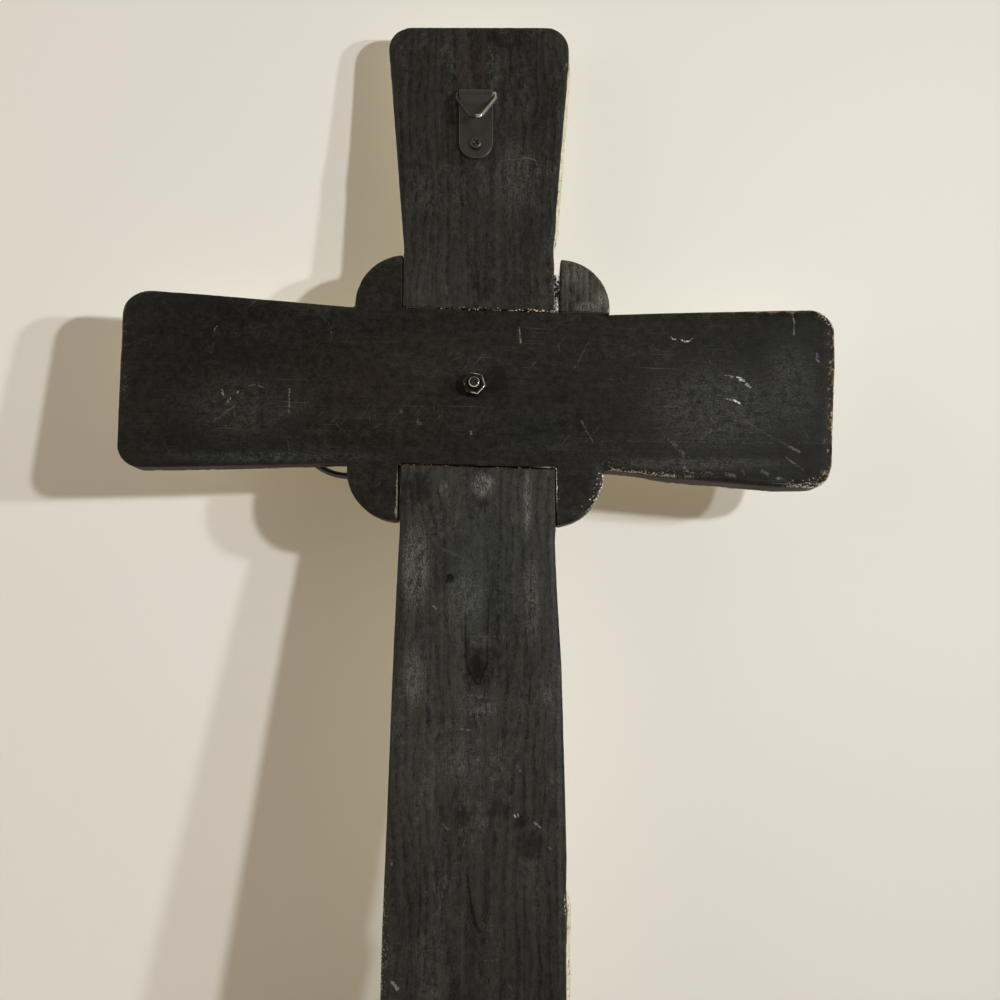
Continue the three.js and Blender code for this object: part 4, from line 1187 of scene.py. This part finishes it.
def make_screw(finish):
    """Pan-head screw with a cross recess, painted near black as painted shade, its shank in the board.
    """
    seat = BACK - SEAT - 2 * STRAP_SHEET - 0.5
    rim, tall, shank, length, steps = 0.6, 2.3, 1.7, 12.7, 48
    blade_long, blade_wide, blade_turn = 1.9, 0.5, 0.7
    profile = []
    for i in range(steps + 1):
        angle = (i / steps) * math.pi / 2
        crown = (tall - rim) * math.cos(angle) ** 0.6
        profile.append((SCREW_HEAD * math.sin(angle), seat - rim - crown))
    profile += [(SCREW_HEAD, seat - 0.15), (SCREW_HEAD - 0.15, seat), (shank, seat)]
    profile += [(shank, seat + 0.4 * i) for i in range(1, 22)] + [(0.0, seat + length)]

    def cross_cut(x, z):
        """1 inside the cross recess, 0 outside it."""
        along = abs(x * math.cos(blade_turn) - z * math.sin(blade_turn))
        up = abs(x * math.sin(blade_turn) + z * math.cos(blade_turn))
        blade = min(max(along / blade_long, up / blade_wide), max(up / blade_long, along / blade_wide))
        return eased(min(1.0, max(0.0, (1.15 - blade) / 0.25)))

    def recessed(radius, y, angle):
        if y > seat - 0.4:
            return radius, y
        floor = seat - tall + 1.9 - 0.8 * min(1.0, radius / blade_long)
        deep = max(0.0, floor - y) * cross_cut(radius * math.cos(angle), radius * math.sin(angle))
        return radius, y + deep

    # Painted shade: the cross recess gets wear below zero, which the steel finish turns near black
    def rubbed(x, _, z):
        return 0.4 - 1.4 * cross_cut(x - EYE[0], z - SCREW_Z)
    screw = turned_piece("pan_head_screw", profile, 128, (EYE[0], SCREW_Z), recessed, rubbed)
    dress(screw, finish, ["strap_screw"])


# Filler, crumbs and splinters in the seams

def chalky(name, colour, dirt, dirty_share):
    """A dry, crumbly finish, soiled in clumps."""
    f = Finish(name, specular_ior_level=0.25)
    clump = f.even_cloud(1.4, detail=4.0, roughness=0.65)
    spot = f.even_cloud(3.4)
    soiled = (clump * 0.6 + spot * 0.5).rise(0.62 - dirty_share * 0.3, 0.80 - dirty_share * 0.2)
    colour = f.mixed(soiled, f.shaded(colour, 0.8 + clump * 0.4), dirt)
    return f.lay(base_color=colour, roughness=0.85 + (clump - 0.5) * 0.1, relief=clump * 0.12)


def at_bar(x, z):
    """A place given along and up the crossbar, moved to where its turn puts it."""
    return (x * math.cos(BAR_TURN) + z * math.sin(BAR_TURN),
            CROSSING - x * math.sin(BAR_TURN) + z * math.cos(BAR_TURN))


def moulded(name, work):
    """A piece made of what was shaped so far."""
    mesh = bpy.data.meshes.new(name)
    work.to_mesh(mesh)
    work.free()
    return placed(name, mesh)


def crumb(name, centre, size, seed, squash=(1, 1, 1)):
    """A small broken lump, closed, about a centre in millimetres."""
    work = bmesh.new()
    bmesh.ops.create_icosphere(work, subdivisions=3, radius=1.0)
    for vertex in work.verts:
        way = vertex.co.copy()
        bump = 1 + 0.45 * noise.noise(way * 1.3 + Vector((seed, 0, 0)))
        bump += 0.22 * noise.noise(way * 3.1 + Vector((0, seed, 0)))
        vertex.co = Vector(centre) * MM + Vector(
            way[axis] * bump * size * squash[axis] * MM for axis in range(3)
        )
    return moulded(name, work)


def joined(name, pieces):
    """One piece made of many small ones."""
    work = bmesh.new()
    for piece in pieces:
        work.from_mesh(piece.data)
        bpy.data.objects.remove(piece)
    return moulded(name, work)


def in_block_gap(up, aside=0.0):
    """The middle of the gap beside the loose ear, at a height over the bar's middle line."""
    return at_bar(UPRIGHT_HALF + BLOCK_GAP - up * math.tan(BAR_TURN) + aside, up)


def make_filler():
    """Pale filler pressed into the gap beside the loose ear, in lumps that reach the back."""
    chance = random.Random(11)
    white = chalky("pale_filler", linear(214, 211, 202), linear(120, 108, 92), 0.0)
    brown = chalky("splinter_wood", linear(40, 32, 26), linear(20, 17, 15), 0.5)
    lumps, lump_count, core_count = [], 34, 22
    for i in range(lump_count):
        up = 44.4 + 20.4 * (i + chance.random() * 0.8) / lump_count
        x, z = in_block_gap(up, chance.uniform(-0.15, 0.15))
        crumbled_out = 53.0 < up < 58.0
        if crumbled_out and chance.random() < 0.55:
            continue
        rest = chance.uniform(-6.4, -5.0)
        lumps.append(crumb("lump", (x, rest, z), chance.uniform(0.9, 1.2), i * 3.7, (1.15, 1.4, 0.9)))
    for i in range(core_count):
        x, z = in_block_gap(44.6 + 19.0 * i / core_count)
        lumps.append(crumb("core", (x, -1.5, z), 1.0, i * 1.9, (1.0, 3.4, 1.1)))
    dress(joined("gap_filler", lumps), white, ["corner_filler"])
    chips = []
    for up, lean, length in ((52.4, 0.9, 1.7), (53.6, -0.8, 2.0), (55.2, 0.7, 2.2), (56.6, -0.9, 1.9),
                             (58.0, 0.4, 2.0), (59.6, -0.7, 1.8), (61.0, 0.8, 1.5), (62.4, -0.9, 1.6)):
        x, z = in_block_gap(up)
        chips.append(crumb("chip", (x + lean * 0.8, -7.3, z), 0.62, up, (1.1, 1.6, length)))
    dress(joined("gap_splinters", chips), brown)


# Each old paint of the seams: its colour and its dirt
SEAM_COLOURS = {
    "white": ((212, 207, 198), (120, 108, 92)),
    "pink": ((196, 150, 140), (110, 70, 60)),
    "red": ((142, 66, 56), (60, 34, 28)),
    "gold": ((176, 140, 84), (88, 66, 42)),
}


def fleck_colour(weight):
    """Which old paint a fleck is, by a weight from 0 to 1."""
    for key, limit in (("white", 0.34), ("pink", 0.6), ("gold", 0.85)):
        if weight < limit:
            return key
    return "red"


def make_seam_crumbs():
    """Flecks of old paint and glue squeezed out along the two seams of the crossing."""
    chance = random.Random(5)
    heaps = {key: [] for key in SEAM_COLOURS}
    for i in range(120):
        along = chance.uniform(-41, 41)
        key = fleck_colour(chance.random())
        x, z = at_bar(along, LAP_HALF + 0.2)
        size = chance.uniform(0.16, 0.46) if along > 12 else chance.uniform(0.10, 0.28)
        spilled = along > -22 and chance.random() < 0.55
        y = chance.uniform(-9.1, -8.8) if spilled else chance.uniform(-8.3, -7.4)
        z += chance.uniform(-0.3, 1.1) if spilled else chance.uniform(-0.2, 0.4)
        heaps[key].append(crumb("fleck", (x, y, z), size, i, (1.5, 0.9, 0.8)))
    for i in range(34):
        along = chance.uniform(-41, 0) if i < 26 else chance.uniform(0, 41)
        key = "gold" if chance.random() < 0.7 else "red"
        x, z = at_bar(along, -LAP_HALF - 0.2)
        y, size = chance.uniform(-8.2, -7.4), chance.uniform(0.12, 0.28)
        heaps[key].append(crumb("fleck", (x, y, z), size, i + 200, (1.6, 0.9, 0.8)))
    for key, pieces in heaps.items():
        colour, dirt = SEAM_COLOURS[key]
        finish = chalky(key + "_fleck", linear(*colour), linear(*dirt), 0.4)
        dress(joined(key + "_seam_flecks", pieces), finish)


def stain_line(name, finish, start, end, half, seed):
    """A ragged line of old stain that lies in a seam, flush with the back."""
    rows, count = [], 90
    near, far = BACK + 0.22, BACK + 1.2
    run = Vector((end[0] - start[0], 0, end[1] - start[1]))
    side = Vector((-run.z, 0, run.x)).normalized()
    for i in range(count + 1):
        share = i / count
        middle = Vector((start[0], 0, start[1])) + run * share
        ends = min(1.0, 8 * share + 0.1, 8 * (1 - share) + 0.1)
        row = []
        at = share * run.length
        for way, y in ((-1, near), (1, near), (1, far), (-1, far)):
            reach = half * ends * (0.75 + 0.6 * noise.noise(Vector((at / 0.9, way * 3, seed))))
            rise = 0.12 * noise.noise(Vector((at / 0.7, way, seed + 9)))
            row.append(tuple(middle + side * way * reach + Vector((0, y + rise, 0))))
        rows.append(row)
    points, faces = lattice(rows)
    faces += [(0, 1, 2, 3), tuple(4 * count + k for k in range(4))]
    return dress(solid(name, points, faces), finish, smooth=False)


def make_seam_stain():
    """Stain and grime that close the seams which can hardly be seen on the back."""
    dark = chalky("old_stain", linear(44, 41, 36), linear(26, 24, 21), 0.4)
    ends = (
        ("block_seam_stain", at_bar(44.0, LAP_HALF + 0.15), at_bar(70.6, LAP_HALF + 0.15), 0.5),
        ("left_seam_stain", (-UPRIGHT_HALF - 0.6, 443.2), (-UPRIGHT_HALF - 0.9, 473.0), 0.6),
        ("top_seam_stain", at_bar(-41.0, LAP_HALF + 0.15), at_bar(-24.0, LAP_HALF + 0.15), 0.5),
    )
    for index, (name, start, end, half) in enumerate(ends):
        stain_line(name, dark, start, end, half, index * 5.0)


# Wall, floor and lamps

WALL_FOOT = 0.1315
WALL_LEAN = math.radians(10.55)
WALL = linear(232, 228, 219)
TABLE = linear(120, 104, 96)


def plain(name, colour, see_through=False):
    """A pale matt surface; the wall lets light and the eye through from behind."""
    f = Finish(name, specular_ior_level=0.1, roughness=0.9)
    pale = f.shaded(colour, 0.985 + (f.even_cloud(420) - 0.5) * 0.05)
    if not see_through:
        thrown = f.node("ShaderNodeLightPath", out="Is Diffuse Ray")
        pale = f.mixed(thrown, pale, TABLE)
    f.lay(base_color=pale)
    if see_through:
        behind = f.node("ShaderNodeNewGeometry", out="Backfacing")
        shadow = f.node("ShaderNodeLightPath", out="Is Shadow Ray")
        clear = f.node("ShaderNodeBsdfTransparent")
        matt = Reading(f, f.shader.outputs[0])
        mix = f.node("ShaderNodeMixShader", None, {0: behind.highest(shadow), 1: matt, 2: clear})
        f.feed(f.outlet.inputs["Surface"], mix)
    return f.material


def sheet(name, corners, material):
    mesh = bpy.data.meshes.new(name)
    mesh.from_pydata(corners, [], [(0, 1, 2, 3)])
    mesh.materials.append(material)
    return placed(name, mesh)


def set_stage():
    """The leaning wall behind the cross and the floor under it, in metres."""
    low = Vector((0, WALL_FOOT, 0))
    up = 1.7 * Vector((0, -math.sin(WALL_LEAN), math.cos(WALL_LEAN)))
    side = Vector((1.6, 0, 0))
    wall = sheet("wall", [low - side, low + side, low + side + up, low - side + up],
                 plain("wall_paint", WALL, see_through=True))
    floor = sheet("floor", [(-2, -2, 0), (2, -2, 0), (2, 2, 0), (-2, 2, 0)], plain("pale_floor", WALL))


def lamp(name, towards, distance, size, watts, colour, aim=(0, 0, 0.3)):
    """A round lamp that shines at a point from a direction, in metres."""
    light = bpy.data.lights.new(name, "AREA")
    light.shape = "DISK"
    light.size = size
    light.energy = watts
    light.color = colour
    piece = placed(name, light)
    way = Vector(towards).normalized()
    piece.location = Vector(aim) + way * distance
    piece.rotation_euler = way.to_track_quat("Z", "Y").to_euler()
    piece.visible_camera = False
    return piece


def even(piece):
    """Makes a near lamp as strong far off as close by, like a row of lamps further away."""
    light = piece.data
    light.use_nodes = True
    glow = next(n for n in light.node_tree.nodes if n.type == "EMISSION")
    fall = light.node_tree.nodes.new("ShaderNodeLightFalloff")
    fall.inputs["Strength"].default_value = 1.0
    light.node_tree.links.new(fall.outputs["Constant"], glow.inputs["Strength"])


def set_lamps():
    """Two small lamps throw the double shadow on the wall; the others fill it."""
    even(lamp("near_lamp", (0.618, -0.777, 0.128), 0.90, 0.040, 5.25, (0.885, 0.93, 1.0),
              (0.005, 0, 0.31)))
    even(lamp("far_lamp", (0.750, -0.650, 0.136), 0.93, 0.040, 3.35, (0.857, 0.945, 1.0), (0, 0, 0.31)))
    lamp("side_window", (-0.85, -0.50, 0.25), 1.5, 1.3, 4.2, (0.99, 0.97, 0.88))
    lamp("low_window", (-0.10, -0.80, -0.45), 1.1, 0.8, 0.5, (0.80, 0.90, 1.0))
    lamp("front_lamp", (-0.5, 0.8, 0.5), 1.6, 0.6, 11.0, (1.0, 0.97, 0.92))


def set_room():
    """Warm light from all round, stronger from above, and a pale grey where the eye meets none."""
    room_colour, seen_colour = (0.395, 0.354, 0.275, 1), (0.72, 0.70, 0.66, 1)
    level, more_from_above = 0.72, 1.3
    world = bpy.data.worlds.new("room")
    bpy.context.scene.world = world
    world.use_nodes = True
    tree = world.node_tree
    tree.nodes.clear()
    outlet = tree.nodes.new("ShaderNodeOutputWorld")
    room = tree.nodes.new("ShaderNodeBackground")
    room.inputs["Color"].default_value = room_colour
    way = tree.nodes.new("ShaderNodeTexCoord")
    parts = tree.nodes.new("ShaderNodeSeparateXYZ")
    height = tree.nodes.new("ShaderNodeMath")
    height.operation = "MULTIPLY_ADD"
    height.inputs[1].default_value = more_from_above
    height.inputs[2].default_value = level
    seen = tree.nodes.new("ShaderNodeBackground")
    seen.inputs["Color"].default_value = seen_colour
    mix = tree.nodes.new("ShaderNodeMixShader")
    path = tree.nodes.new("ShaderNodeLightPath")
    for source, socket in (
        (way.outputs["Generated"], parts.inputs[0]),
        (parts.outputs["Z"], height.inputs[0]),
        (height.outputs[0], room.inputs["Strength"]),
        (path.outputs["Is Camera Ray"], mix.inputs[0]),
        (room.outputs[0], mix.inputs[1]),
        (seen.outputs[0], mix.inputs[2]),
        (mix.outputs[0], outlet.inputs["Surface"]),
    ):
        tree.links.new(source, socket)
    bpy.context.scene.view_settings.view_transform = "Standard"


put_camera()
worn_board("vertical_board", "upright_board", UPRIGHT_LOOK, UPRIGHT_HOLLOWS, 1)
worn_board("crossbar", "cross_board", BAR_LOOK, BAR_HOLLOWS, 4)
worn_board("corner_block", "corner_ear", BLOCK_LOOK, [], 7)
make_filler()
make_seam_crumbs()
make_seam_stain()
make_ornament()
bolt_finish = steel("darkened_bolt_steel", linear(34, 33, 32), linear(206, 204, 198), 0.35, 0.30)
make_bolt(bolt_finish)
make_nut(bolt_finish)
hanger_finish = steel("blackened_hanger_steel", linear(37, 35, 31), linear(140, 136, 126), 0.9, 0.38)
ring_finish = steel("rubbed_and_highlit_ring_steel", linear(40, 39, 36), linear(176, 174, 168), 0.5, 0.26)
make_strap(hanger_finish)
make_ring(ring_finish)
make_screw(hanger_finish)
set_stage()
set_lamps()
set_room()
